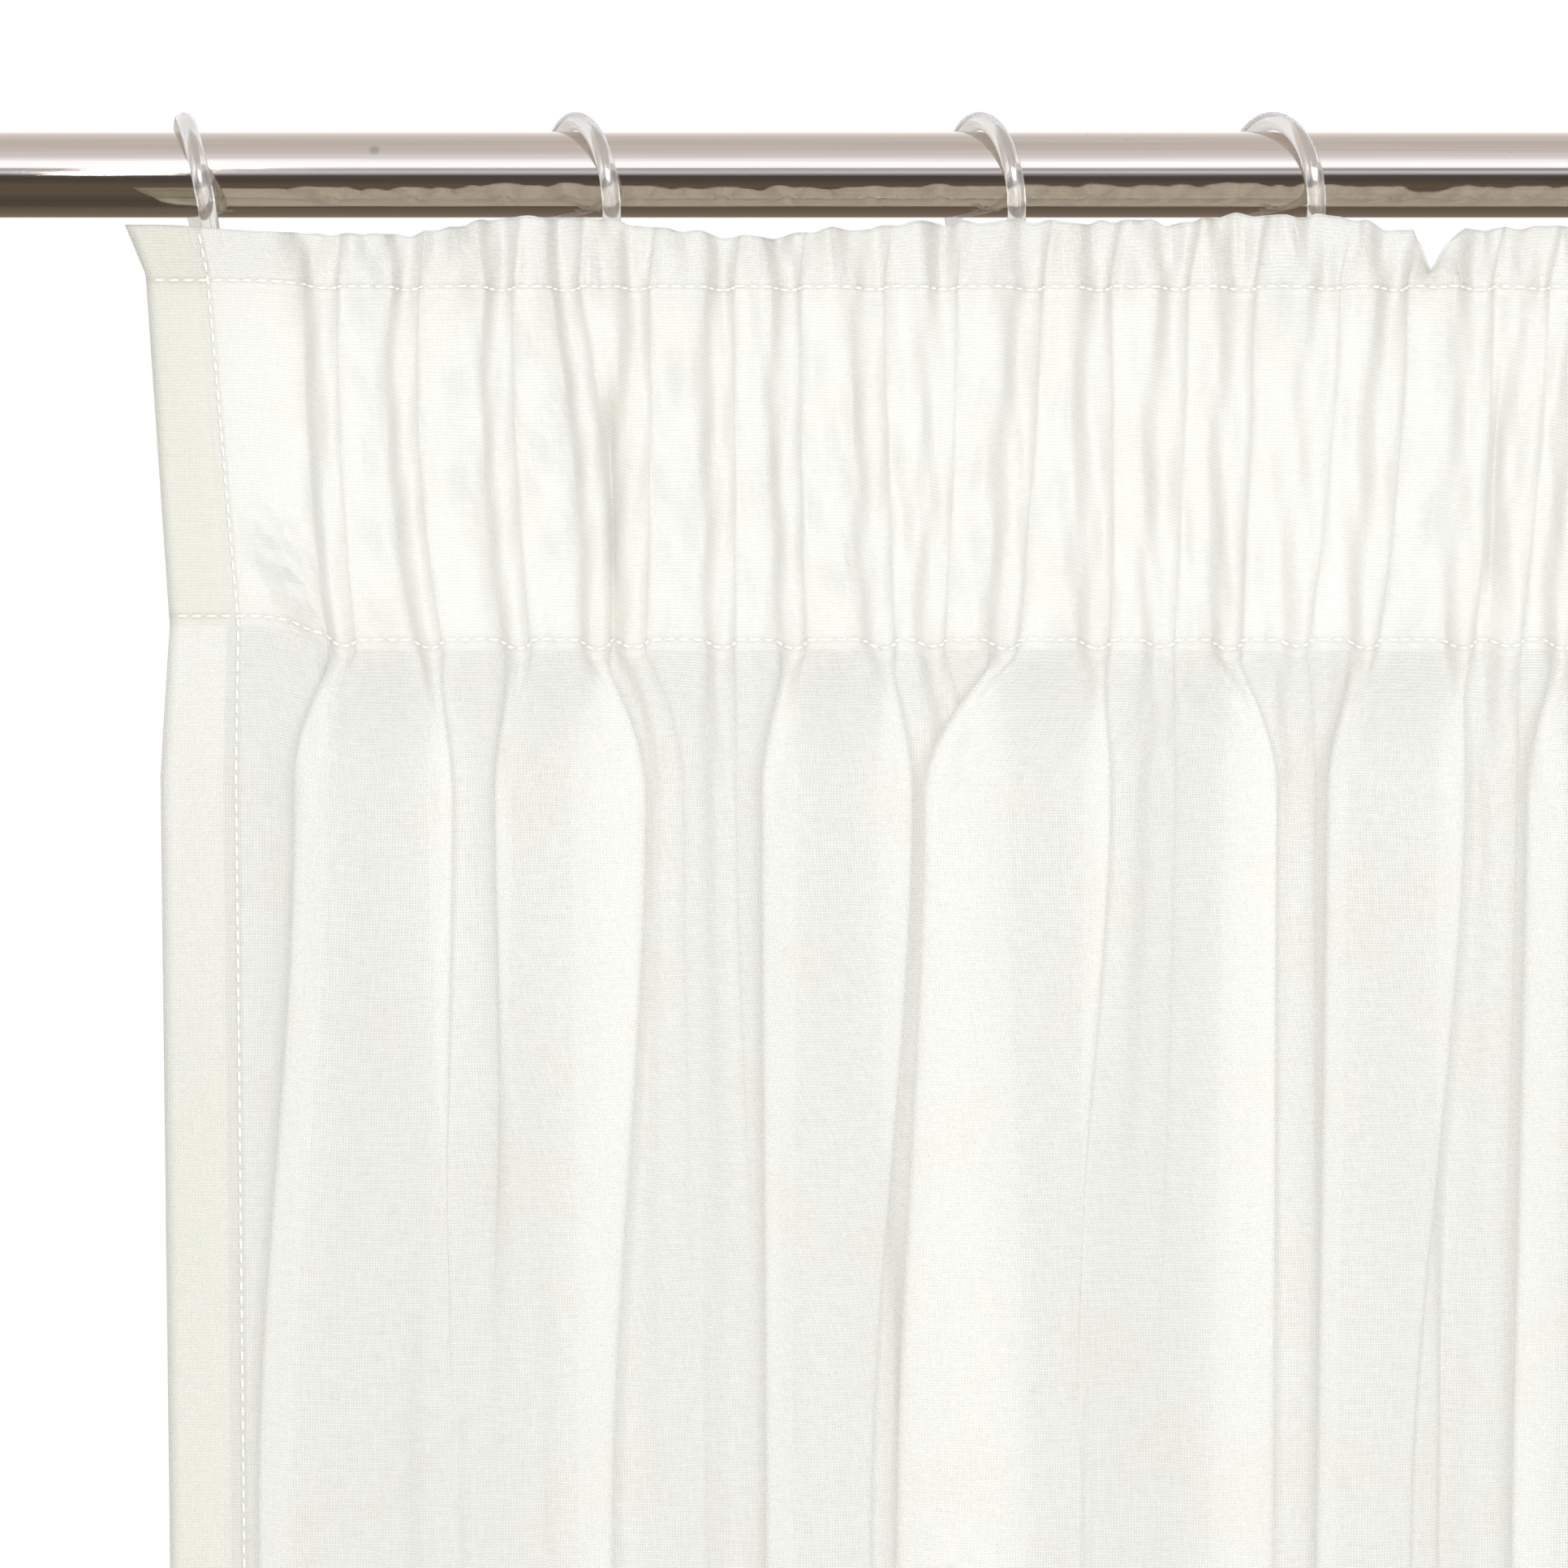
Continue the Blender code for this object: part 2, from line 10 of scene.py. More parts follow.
import bpy
import numpy as np
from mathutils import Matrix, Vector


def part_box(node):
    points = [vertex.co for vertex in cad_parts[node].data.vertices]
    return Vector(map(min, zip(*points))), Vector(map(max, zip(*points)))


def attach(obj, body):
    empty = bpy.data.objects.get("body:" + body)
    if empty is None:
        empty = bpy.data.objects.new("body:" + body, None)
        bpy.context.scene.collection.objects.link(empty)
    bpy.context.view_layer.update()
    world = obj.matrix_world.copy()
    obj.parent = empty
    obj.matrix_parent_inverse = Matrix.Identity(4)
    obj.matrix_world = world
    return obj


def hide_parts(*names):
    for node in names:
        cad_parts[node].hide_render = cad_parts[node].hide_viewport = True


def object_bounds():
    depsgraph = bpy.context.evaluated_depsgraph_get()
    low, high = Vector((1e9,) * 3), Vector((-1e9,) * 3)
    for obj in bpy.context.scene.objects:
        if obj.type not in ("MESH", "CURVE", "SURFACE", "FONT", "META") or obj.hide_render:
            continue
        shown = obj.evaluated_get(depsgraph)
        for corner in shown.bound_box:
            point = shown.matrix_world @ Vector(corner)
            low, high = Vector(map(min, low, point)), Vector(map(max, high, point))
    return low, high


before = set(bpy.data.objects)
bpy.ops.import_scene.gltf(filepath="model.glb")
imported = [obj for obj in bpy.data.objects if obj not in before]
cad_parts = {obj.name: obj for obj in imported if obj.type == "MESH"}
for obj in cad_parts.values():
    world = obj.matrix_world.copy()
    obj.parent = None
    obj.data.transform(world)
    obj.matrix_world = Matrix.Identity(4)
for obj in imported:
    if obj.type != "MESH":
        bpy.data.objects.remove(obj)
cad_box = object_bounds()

bl_info = {
    "name": "Sheer voile curtain",
    "version": (1, 0, 0),
    "blender": (4, 5, 0),
    "location": "View3D > Sidebar > Curtain",
    "description": "Gathered voile curtain with pencil-pleat heading, rings and rod",
    "category": "Object",
}

MM = 0.001
SEED = 7

# Rod. TARNISH_AT is the place, in metres, of its one larger dark spot.
ROD_RADIUS = 0.5 * (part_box("rod")[1][2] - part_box("rod")[0][2]) / MM
ROD_OVERHANG = 65.0
ROD_CHAMFER = 0.8
ROD_SIDES = 96
TARNISH_AT = (0.1131, -0.0072, 0.0058)

# Curtain, as in the model: its width, the thickness and gap of its layers, and the heights of its edges,
# sewn lines and plan sections. HANG is how far back the cloth's middle hangs at each of those heights.
WIDTH = 630.0
CLOTH = 1.0
TAPE = 1.0
GAP = 0.3
SIDE_HEM = 16.7
TOP_Z = -9.6
STITCH_Z = -20.6
MIDDLE_Z = -58.0
TAPE_FOOT_Z = -99.0
UPPER_Z = -133.0
LOWER_Z = -304.0
HEM_Z = -1378.0
HANG = {"z": (HEM_Z, LOWER_Z, UPPER_Z, TAPE_FOOT_Z, STITCH_Z, TOP_Z),
        "y": (8.0, -3.0, -10.0, -12.0, -18.5, -21.5)}

# The flat ends: their columns, how far the side hem's inner edge leans out, and how far the edge flares
SIDE_COLUMNS = (0.0, 0.5 * SIDE_HEM, SIDE_HEM, 25.0)
HEM_LEAN = {"z": (TAPE_FOOT_Z, STITCH_Z, TOP_Z), "out": (0.0, 4.4, 4.8)}
HEM_LEAN_TO = 40.0
EDGE_FLARE = {"z": (UPPER_Z, TAPE_FOOT_Z, STITCH_Z, TOP_Z), "out": (0.0, -2.3, 1.8, 6.0)}

# How far the gathers hang below the flat ends, and ridges of RIDGE_FULL and more below the gathers. The
# droop starts and is complete at these distances from the sides.
DROOP = 5.5
RIDGE_DROOP = 2.2
RIDGE_FULL = 9.0
DROOP_FROM = 22.0
DROOP_TO = 44.0
DROOP_SHARE = {"z": (LOWER_Z, UPPER_Z, TAPE_FOOT_Z, STITCH_Z, TOP_Z), "share": (0.0, 0.4, 1.0, 0.25, 0.0)}
RIDGE_DROOP_ENDS = 20.0

# Shape of the heading's ridges. A ridge that the model raises by EASED_FROM is eased to EASED_RISE here,
# and a higher one by EASED_GROWTH for each further millimetre, because soft cloth stands less crisply.
# RIDGE_PROFILE has the ridge's left foot and side, then its right side and foot, in half-widths from its
# middle, and the share of its height at those places and at the two ends of its crest between them.
PINCHED_HALF = 2.6
EASED_FROM = 9.0
EASED_RISE = 3.3
EASED_GROWTH = 2.2
RIDGE_PROFILE = {"across": (-1.5, -1.0, 1.0, 1.2), "up": (0.0, 0.42, 0.95, 1.0, 0.5, 0.0)}
FRILL_WIDEN = 1.3
FRILL_RISE = 0.8

# Shape of the folds below the tape. Where the levels beside a fold differ by less than LOW_STEP, it is a
# ridge, and otherwise the edge of a lobe. LOBE_PROFILE runs from a lobe's hidden inner fold to its front:
# places across, then shares of its depth.
LOBE_PROFILE = {"across": (0.4, 0.2, 3.0, 7.0), "depth": (0.3, 0.45, 0.58, 0.88, 1.0, 1.0)}
LOW_STEP = 2.5
WAVE_UPPER = 2.6
WAVE_LOWER = 1.0
LOWER_WIDEN = 1.5
FRONT_SWELL = 1.4
FRONT_SHOULDER = 0.7
VALLEY_SAG = 0.6
FRONT_DEPTH = 8.0
UPPER_SIDE = 3.0
LOWER_SIDE = 4.0
SEWN_CREST = 0.4
SOFT_CREST = 0.45
HEM_DRIFT = 4.0
HEM_WANDER = 0.4
HEM_START = 0.6
HEM_TUCK_SHARE = 0.6
HEM_DEPTH_SHARE = 2.1

# The notch in the frill's edge, and where the edge starts to rise and fall
NOTCH_X = 279.6
NOTCH_LEFT = 3.8
NOTCH_RIGHT = 7.6
NOTCH_DEPTH = 9.2
CROWN_FROM = 30.0

# The cloth before it was gathered, and what is turned to the back of it. The side hems lie one
# LAYER_GAP behind the front, the top and bottom turns TURN_LAYERS of them.
FLAT_WIDTH = 1170.0
TOP_TURN = 15.0
BOTTOM_HEM = 60.0
LAYER_GAP = 0.22
TURN_LAYERS = 1.5

# Rows of the fine cloth: height where a band starts, and the distance between its rows
Band = namedtuple("Band", "top step")
ROW_BANDS = (
    Band(TOP_Z, 1.2),
    Band(STITCH_Z - 4.0, 3.2),
    Band(TAPE_FOOT_Z + 5.0, 1.3),
    Band(TAPE_FOOT_Z - 5.0, 2.4),
    Band(UPPER_Z, 7.0),
    Band(LOWER_Z, 33.0),
)
COLUMN_STEPS = 3

# Creases pressed into the cloth: a soft fold from one place to another, its half-width and how far it
# stands forward. CREASE_START and CREASE_END are the shares of its length over which it fades.
Crease = namedtuple("Crease", "x z to_x to_z half reach")
CREASE_START = 0.4
CREASE_END = 0.25
CREASES = (
    Crease(17.0, -72.0, 38.5, -103.0, 1.6, 3.2),
    Crease(19.0, -80.0, 36.0, -104.0, 1.5, -1.6),
    Crease(22.0, -60.0, 36.0, -92.0, 2.6, 0.9),
    Crease(33.5, -19.0, 33.0, -86.0, 3.2, -2.4),
    Crease(20.0, -66.0, 37.0, -88.0, 1.4, 1.2),
    Crease(2.0, -26.0, 8.0, -58.0, 3.0, 0.5),
    Crease(99.2, -30.0, 101.0, -94.0, 1.0, -4.2),
    Crease(296.4, -34.0, 294.2, -92.0, 1.0, -4.0),
    Crease(50.5, -40.0, 49.0, -92.0, 1.8, 0.9),
    Crease(68.5, -30.0, 68.0, -78.0, 1.9, 0.8),
    Crease(85.0, -36.0, 87.5, -94.0, 1.6, 0.9),
    Crease(115.5, -28.0, 114.5, -72.0, 1.8, 0.8),
    Crease(131.5, -48.0, 132.0, -95.0, 1.7, 0.9),
    Crease(148.0, -30.0, 149.5, -84.0, 1.9, 0.9),
    Crease(180.5, -34.0, 179.0, -92.0, 1.8, 1.0),
    Crease(198.5, -26.0, 198.0, -70.0, 1.6, 0.8),
    Crease(214.5, -52.0, 214.0, -96.0, 1.7, 1.0),
    Crease(229.5, -28.0, 229.0, -90.0, 1.5, 0.9),
    Crease(245.5, -40.0, 244.0, -95.0, 1.8, 0.9),
    Crease(262.0, -30.0, 261.0, -80.0, 1.6, 0.9),
    Crease(280.5, -36.0, 277.5, -95.0, 1.8, 1.0),
    Crease(276.8, -13.0, 276.2, -30.0, 1.3, -1.8),
    Crease(279.4, -14.0, 283.4, -29.0, 1.4, 2.0),
    Crease(286.4, -12.0, 285.6, -30.0, 1.2, -1.6),
)

# x, mid_x and top_x: place of the ridge at the tape's foot, at its middle and at its top. half: its
# half-width at the middle. rise: how far it stands forward. crown: height of the frill above its line.
# Then, at the upper and at the lower section, the fold's place, how far the cloth is tucked back under
# it, and how far forward the cloth to its right lies.
Fold = namedtuple("Fold", "x mid_x top_x half rise crown up_x up_tuck up_fwd low_x low_tuck low_fwd")
FOLDS = (
    Fold(40.8, 37.6, 37.6, 2.8, 9.4, -1.6, 30.0, 8.0, 13.0, 20.4, 7.0, 15.0),
    Fold(60.2, 55.0, 55.6, 2.8, 9.6, -2.2, 65.1, 6.0, 5.0, 60.0, 0.0, 16.0),
    Fold(79.6, 76.0, 76.0, 3.0, 9.8, 1.8, 74.3, 4.0, 13.0, 78.0, 0.0, 15.5),
    Fold(96.9, 95.4, 90.2, 2.8, 10.0, 2.2, 107.6, 17.0, 0.5, 99.9, 8.0, 1.0),
    Fold(104.9, 105.4, 105.8, 3.1, 9.4, 0.4, 112.6, 0.0, 1.5, 113.0, 0.0, 2.0),
    Fold(124.5, 124.3, 124.3, 2.9, 9.6, -2.4, 124.6, 0.0, 2.0, 128.0, 0.0, 3.0),
    Fold(140.3, 139.0, 139.0, 2.8, 9.8, -2.0, 133.4, 8.0, 12.0, 134.3, 6.0, 13.0),
    Fold(160.1, 157.7, 157.4, 3.2, 9.6, -0.2, 166.6, 8.0, 1.0, 158.0, -6.0, 1.0),
    Fold(170.8, 172.4, 173.5, 3.0, 9.2, 0.8, 176.0, 0.0, 1.0, 173.0, 0.0, 0.5),
    Fold(187.0, 189.6, 192.2, 3.3, 10.0, 1.0, 169.4, 19.0, 13.0, 163.8, 30.0, 15.0),
    Fold(207.5, 206.9, 206.9, 3.5, 9.8, 1.0, 210.5, 6.0, 6.0, 198.0, 0.0, 14.0),
    Fold(221.8, 222.3, 224.2, 3.6, 9.4, 0.8, 221.0, 0.0, 8.0, 216.0, 0.0, 13.0),
    Fold(236.6, 236.9, 238.9, 3.5, 10.0, 2.6, 247.5, 12.0, 1.0, 248.0, 14.0, 1.0),
    Fold(251.2, 254.8, 257.6, 3.6, 9.2, 2.2, 252.4, 0.0, 1.0, 252.6, 0.0, 1.0),
    Fold(266.6, 270.2, 272.2, 3.4, 9.8, -0.6, 258.4, 5.0, 13.0, 257.8, 5.0, 13.0),
    Fold(287.9, 289.8, 290.8, 3.4, 9.6, -0.4, 288.9, 6.0, 1.5, 279.0, -6.0, 3.0),
    Fold(298.4, 300.8, 303.4, 3.5, 9.2, -0.4, 297.2, 0.0, 1.5, 294.0, 0.0, 3.0),
    Fold(310.6, 312.4, 315.6, 3.2, 9.8, 0.0, 302.6, 9.0, 13.0, 301.6, 10.0, 14.0),
    Fold(328.6, 329.8, 332.0, 3.0, 9.8, 1.4, 334.0, 6.0, 5.0, 324.0, 0.0, 15.0),
    Fold(344.0, 343.2, 344.4, 3.2, 9.4, 0.2, 343.0, 4.0, 12.0, 342.0, 0.0, 15.0),
    Fold(360.5, 358.4, 357.6, 3.4, 9.8, -1.6, 370.0, 14.0, 1.0, 371.0, 15.0, 2.0),
    Fold(373.2, 372.2, 371.0, 2.9, 9.4, -0.6, 376.6, 0.0, 1.5, 377.0, 0.0, 2.0),
    Fold(389.0, 391.0, 392.4, 3.3, 9.6, 1.2, 383.0, 6.0, 12.0, 385.0, 9.0, 13.0),
    Fold(407.4, 409.2, 411.0, 3.1, 9.8, 0.4, 411.5, 5.0, 1.0, 406.0, -4.0, 1.0),
    Fold(421.5, 423.9, 425.2, 3.0, 9.2, -1.4, 419.5, 0.0, 1.5, 418.0, 0.0, 1.0),
    Fold(438.2, 440.0, 440.6, 3.5, 10.0, -2.0, 429.0, 15.0, 13.0, 424.5, 23.0, 15.0),
    Fold(455.0, 454.4, 453.2, 3.1, 9.6, 0.8, 457.0, 0.0, 14.0, 452.0, 0.0, 15.0),
    Fold(471.6, 469.6, 468.8, 3.4, 9.8, 1.8, 479.0, 9.0, 1.0, 477.0, 10.0, 1.0),
    Fold(483.8, 482.6, 481.4, 2.8, 9.2, 0.4, 484.6, 0.0, 1.5, 484.0, 0.0, 2.0),
    Fold(500.3, 501.8, 501.0, 3.3, 9.8, -0.8, 492.0, 7.0, 12.0, 494.0, 8.0, 14.0),
    Fold(518.8, 520.4, 522.0, 3.2, 9.4, -1.8, 518.0, 0.0, 13.0, 519.0, 0.0, 14.0),
    Fold(534.9, 533.8, 535.4, 3.4, 10.0, 0.6, 543.5, 13.0, 1.0, 541.0, 12.0, 2.0),
    Fold(549.6, 550.6, 552.2, 2.9, 9.2, 1.6, 550.2, 0.0, 1.5, 551.0, 0.0, 2.0),
    Fold(566.0, 567.6, 568.0, 3.2, 9.6, -0.6, 558.0, 8.0, 13.0, 561.0, 7.0, 14.0),
    Fold(585.0, 587.0, 588.0, 3.0, 9.4, -1.2, 596.5, 9.0, 3.0, 602.0, 9.0, 4.0),
)

# Fine vertical ripples: wavelength across and how far one reaches forward at its strongest, with its
# slant (shift across for each tenth of a millimetre down). Each keeps RIPPLE_KEEPS of its reach, the rest
# fades in and out down and across the cloth. FRILL_FLAPS are squared, so that they only lean forward.
Ripple = namedtuple("Ripple", "wave reach slant")
RIPPLE_KEEPS = 0.65
HEADING_RIPPLES = (
    Ripple(3.9, 0.32, 0.012),
    Ripple(5.3, 0.72, -0.020),
    Ripple(6.9, 0.80, 0.015),
    Ripple(9.1, 0.70, -0.010),
    Ripple(13.7, 0.50, 0.022),
)
FRILL_RIPPLES = (
    Ripple(5.9, 0.25, 0.0),
    Ripple(9.7, 0.35, 0.0),
    Ripple(23.0, 0.35, 0.0),
)
FRILL_FLAPS = (
    Ripple(12.4, 0.95, 0.0),
    Ripple(19.0, 1.05, 0.0),
    Ripple(31.0, 0.70, 0.0),
)
BODY_RIPPLES = (
    Ripple(11.0, 0.12, 0.006),
    Ripple(17.0, 0.26, -0.008),
    Ripple(29.0, 0.42, 0.010),
    Ripple(47.0, 0.50, -0.007),
)

# Distances from the side hem over which ripples and flaps come in, the frill's edge first, and how the
# flaps grow towards the edge
EDGE_COMES_IN = 20.0
RIPPLES_COME_IN = 25.0
FLAP_GROWTH = 1.5

# How strong the heading's and the body's ripples are at each height
HEADING_SHARE = {"z": (TAPE_FOOT_Z - 60.0, TAPE_FOOT_Z, TAPE_FOOT_Z + 30.0, STITCH_Z, TOP_Z),
                 "share": (0.0, 0.7, 1.0, 0.8, 1.5)}
BODY_SHARE = {"z": (LOWER_Z, UPPER_Z, TAPE_FOOT_Z), "share": (1.0, 0.6, 0.0)}

# Sewing
STITCH_PITCH = 3.2
STITCH_LENGTH = 2.5
STITCH_THREAD = 0.34
STITCH_PROFILE = {"along": (0.0, 0.25, 0.75, 1.0), "thick": (0.35, 1.0, 1.0, 0.35),
                  "lift": (-0.3, 0.7, 0.7, -0.3)}
FOOT_STITCH_Z = TAPE_FOOT_Z + 2.2
SIDE_STITCH_IN = 15.6
BOTTOM_STITCH_Z = HEM_Z + BOTTOM_HEM - 2.0
ACROSS_STITCHES = (STITCH_Z - 1.2, FOOT_STITCH_Z, BOTTOM_STITCH_Z)

# Rings and hooks, as in the model. x: ring's middle, shank: where its hook lies against the tape, then
# the ring's turn about the vertical and its lean to the left, in degrees. HOOK_ROOM is left between the
# tape's back and the hook's shank.
Ring = namedtuple("Ring", "x shank turn lean")
RINGS = (
    Ring(8.8, 11.0, 9.0, 10.0),
    Ring(93.5, 92.0, 24.0, 3.0),
    Ring(182.5, 181.0, 24.0, 2.0),
    Ring(246.8, 246.0, 30.0, 0.0),
    Ring(336.5, 336.5, 16.0, 3.0),
    Ring(414.5, 414.5, -12.0, 0.0),
    Ring(491.5, 491.5, -20.0, -3.0),
    Ring(557.5, 557.5, -14.0, 2.0),
    Ring(619.0, 619.0, -8.0, -6.0),
)
RING_RADIUS = 17.0
RING_WIRE = 2.05
EYE_RADIUS = 2.7
EYE_WIRE = 0.8
EYE_DROP = 21.4
RING_FACETS = (72, 20)
EYE_FACETS = (28, 12)
HOOK_WIRE = 0.9
HOOK_ROOM = 1.9
HOOK_FOOT_Z = -52.0
HOOK_TOP_Z = -36.0
HOOK_TAIL = ((0.0, 2.2, -0.5), (0.0, 4.0, -2.2), (0.0, 4.6, -5.0), (0.0, 4.6, -8.0))
HOOK_TIP = 0.6
HOOK_SIDES = 12

# Stage
AIM = (0.2033, -0.015, -0.134)
VIEW_ELEVATION = math.radians(8.0)
VIEW_DISTANCE = 2.0
VIEW_WIDTH = 0.3475
SENSOR = 36.0
FLOOR_Z = -1.45
FLOOR_HALF = 4.0
GAP_COLOUR = "#CFCDBB"
SoftLight = namedtuple("SoftLight", "name place size")
KEY_LIGHT = SoftLight("key_light", (1.2, -1.7, 0.6), (0.9, 1.2))
FILL_LIGHT = SoftLight("fill_light", (0.25, -2.3, 0.15), (1.3, 1.1))
GLINT_LIGHT = SoftLight("glint_light", (-0.04, -1.40, 0.42), (0.015, 0.70))

# Light round the X axis, as degrees up from the camera's side and brightness: for matt surfaces, then
# for reflections. Reflected light is warm from below, cool above the first of TINT_STARTS, and pale above
# the second.
MATT_BANDS = (
    (-180.0, 0.64), (-112.0, 0.54), (-60.0, 0.32), (-22.0, 0.30), (12.0, 0.34), (44.0, 0.44), (96.0, 0.62),
    (180.0, 0.64),
)
MATT_STRENGTH = 0.90
SHINY_BANDS = (
    (-180.0, 0.20), (-150.0, 0.10), (-115.0, 0.08), (-100.0, 0.07), (-90.0, 0.05), (-75.0, 0.04),
    (-60.0, 0.05), (-40.0, 0.06), (-25.0, 0.06), (-10.0, 0.04), (2.0, 0.04), (6.0, 0.24), (10.0, 0.42),
    (14.0, 0.38), (17.5, 0.14), (20.0, 0.22), (25.0, 0.84), (36.0, 0.79), (52.0, 0.48), (72.0, 0.34),
    (95.0, 0.31), (125.0, 0.35), (155.0, 0.46), (180.0, 0.46),
)
SHINY_STRENGTH = 3.2
WARM = "#FFEEDC"
COOL = "#E6EEFF"
PALE = "#F7F9FF"
TINT_STARTS = (0.0, 60.0)


class CurtainCloth(bpy.types.PropertyGroup):
    """Colours and weave of the cloth, its tape and its sewing, with the painted shade of its side hems."""

    thread_pitch: bpy.props.FloatProperty(
        name="Thread pitch", description="Distance between threads as drawn", default=0.66 * MM,
        min=0.2 * MM, max=3.0 * MM, subtype="DISTANCE", unit="LENGTH", precision=5)
    cloth_colour: bpy.props.StringProperty(
        name="Cloth", description="Thread colour of the voile, sRGB hex", default="#FEFEFD")
    # The hem colour is painted shade: a darker cream laid over the doubled side hems.
    hem_shade_colour: bpy.props.StringProperty(
        name="Hem", description="Colour of the cloth where it is double, sRGB hex", default="#F7F7F2")
    tape_colour: bpy.props.StringProperty(
        name="Tape", description="Colour of the heading tape, sRGB hex", default="#F9F9F7")
    sewing_colour: bpy.props.StringProperty(
        name="Sewing thread", description="Colour of the stitches, sRGB hex", default="#FFFFFF")


class CurtainHardware(bpy.types.PropertyGroup):
    """Finish of the rod, rings and hooks."""

    rod_colour: bpy.props.StringProperty(
        name="Rod", description="Reflected colour of the rod's plating, sRGB hex", default="#C4B7A9")
    ring_colour: bpy.props.StringProperty(
        name="Rings", description="Tint of the clear rings, sRGB hex", default="#F1EEEB")
    hook_colour: bpy.props.StringProperty(
        name="Hooks", description="Colour of the hooks, sRGB hex", default="#F4F3EC")


class CurtainStage(bpy.types.PropertyGroup):
    """Floor and light of the studio."""

    floor_colour: bpy.props.StringProperty(
        name="Floor", description="Colour of the floor, sRGB hex", default="#ECEBE8")
    key_power: bpy.props.FloatProperty(
        name="Key light", description="Power of the large soft light", default=7.5, min=0.0, unit="POWER")
    fill_power: bpy.props.FloatProperty(
        name="Fill light", description="Power of the soft light beside the camera", default=37.3, min=0.0,
        unit="POWER")
    glint_power: bpy.props.FloatProperty(
        name="Glint", description="Power of the small lamp seen in the rod", default=1.2, min=0.0,
        unit="POWER")


# ---------------------------------------------------------------------------------------------------
# Cloth sections


def ease(value):
    """0 to 1 with a soft start and end: 3t^2 - 2t^3."""
    t = np.clip(value, 0.0, 1.0)
    return t * t * (3.0 - 2.0 * t)


def fold_points(edge, half, rise, tuck, left, right, crest):
    """Six points across one fold, as x and as distance forward.

    Where the cloth lies level on both sides, the fold is a narrow ridge of height rise, with a gentler
    slope on its left. Where one side is a lobe's front, the points run from the hidden inner fold, back
    under the lobe by tuck, round its visible edge and on to the front. A negative tuck is an open slope
    with nothing under it.
    """
    if abs(right - left) < LOW_STEP:
        foot, left_side, right_side, right_foot = RIDGE_PROFILE["across"]
        across = half * np.array([foot, left_side, -crest, crest, right_side, right_foot])
        stand = rise * np.array(RIDGE_PROFILE["up"])
        return edge + across, np.linspace(left, right, 6) + stand
    back = min(left, right)
    drop = abs(right - left)
    across = np.array([tuck, 0.5 * tuck, *LOBE_PROFILE["across"]])
    forward = back + drop * np.array(LOBE_PROFILE["depth"])
    forward[-1] += FRONT_SHOULDER * FRONT_SWELL
    if right > left:
        return edge + across, forward
    return (edge - across)[::-1], forward[::-1]


def section(places, halves, rises, tucks, levels, crest):
    """One plan section of the whole cloth, as x and distance forward of every column.

    levels has the level of the flat left side, then of the cloth to the right of each fold.
    """
    xs = [np.array(SIDE_COLUMNS)]
    forwards = [np.full(len(SIDE_COLUMNS), levels[0])]
    rows = zip(places, halves, rises, tucks, levels[:-1], levels[1:])
    folds = [fold_points(*row, crest) for row in rows]
    for number, (x, forward) in enumerate(folds):
        xs.append(x)
        forwards.append(forward)
        if number + 1 < len(folds):
            level = levels[number + 1]
            swell = FRONT_SWELL if level > FRONT_DEPTH else -VALLEY_SAG
            xs.append([0.5 * (x[-1] + folds[number + 1][0][0])])
            forwards.append([level + swell])
    xs.append(WIDTH - np.array(SIDE_COLUMNS)[::-1])
    forwards.append(np.full(len(SIDE_COLUMNS), levels[-1]))
    return np.concatenate(xs), np.concatenate(forwards)


def sections(shrink=0.0, lower=0.0):
    """The seven sections, from the frill's edge down. shrink and lower slim the heading's ridges."""
    pick = {field: np.array([getattr(fold, field) for fold in FOLDS]) for field in Fold._fields}
    flat = np.zeros(len(FOLDS))
    level = np.zeros(len(FOLDS) + 1)
    rise = EASED_RISE + EASED_GROWTH * (pick["rise"] - EASED_FROM) - lower
    pinched = flat + PINCHED_HALF - shrink
    wide = LOWER_WIDEN * pick["half"]
    upper_levels = np.concatenate([[UPPER_SIDE], pick["up_fwd"]])
    lower_levels = np.concatenate([[LOWER_SIDE], pick["low_fwd"]])
    drift = HEM_DRIFT * np.sin(HEM_WANDER * np.arange(len(FOLDS)) + HEM_START)
    return (
        section(pick["top_x"], FRILL_WIDEN * pick["half"], FRILL_RISE * rise, flat, level, SEWN_CREST),
        section(pick["top_x"], pinched, rise, flat, level, SEWN_CREST),
        section(pick["mid_x"], pick["half"] - shrink, rise, flat, level, SEWN_CREST),
        section(pick["x"], pinched, rise, flat, level, SEWN_CREST),
        section(pick["up_x"], pick["half"], flat + WAVE_UPPER, pick["up_tuck"], upper_levels, SOFT_CREST),
        section(pick["low_x"], wide, flat + WAVE_LOWER, pick["low_tuck"], lower_levels, SOFT_CREST),
        section(pick["low_x"] + drift, wide, flat + WAVE_LOWER, HEM_TUCK_SHARE * pick["low_tuck"],
                HEM_DEPTH_SHARE * lower_levels, SOFT_CREST),
    )


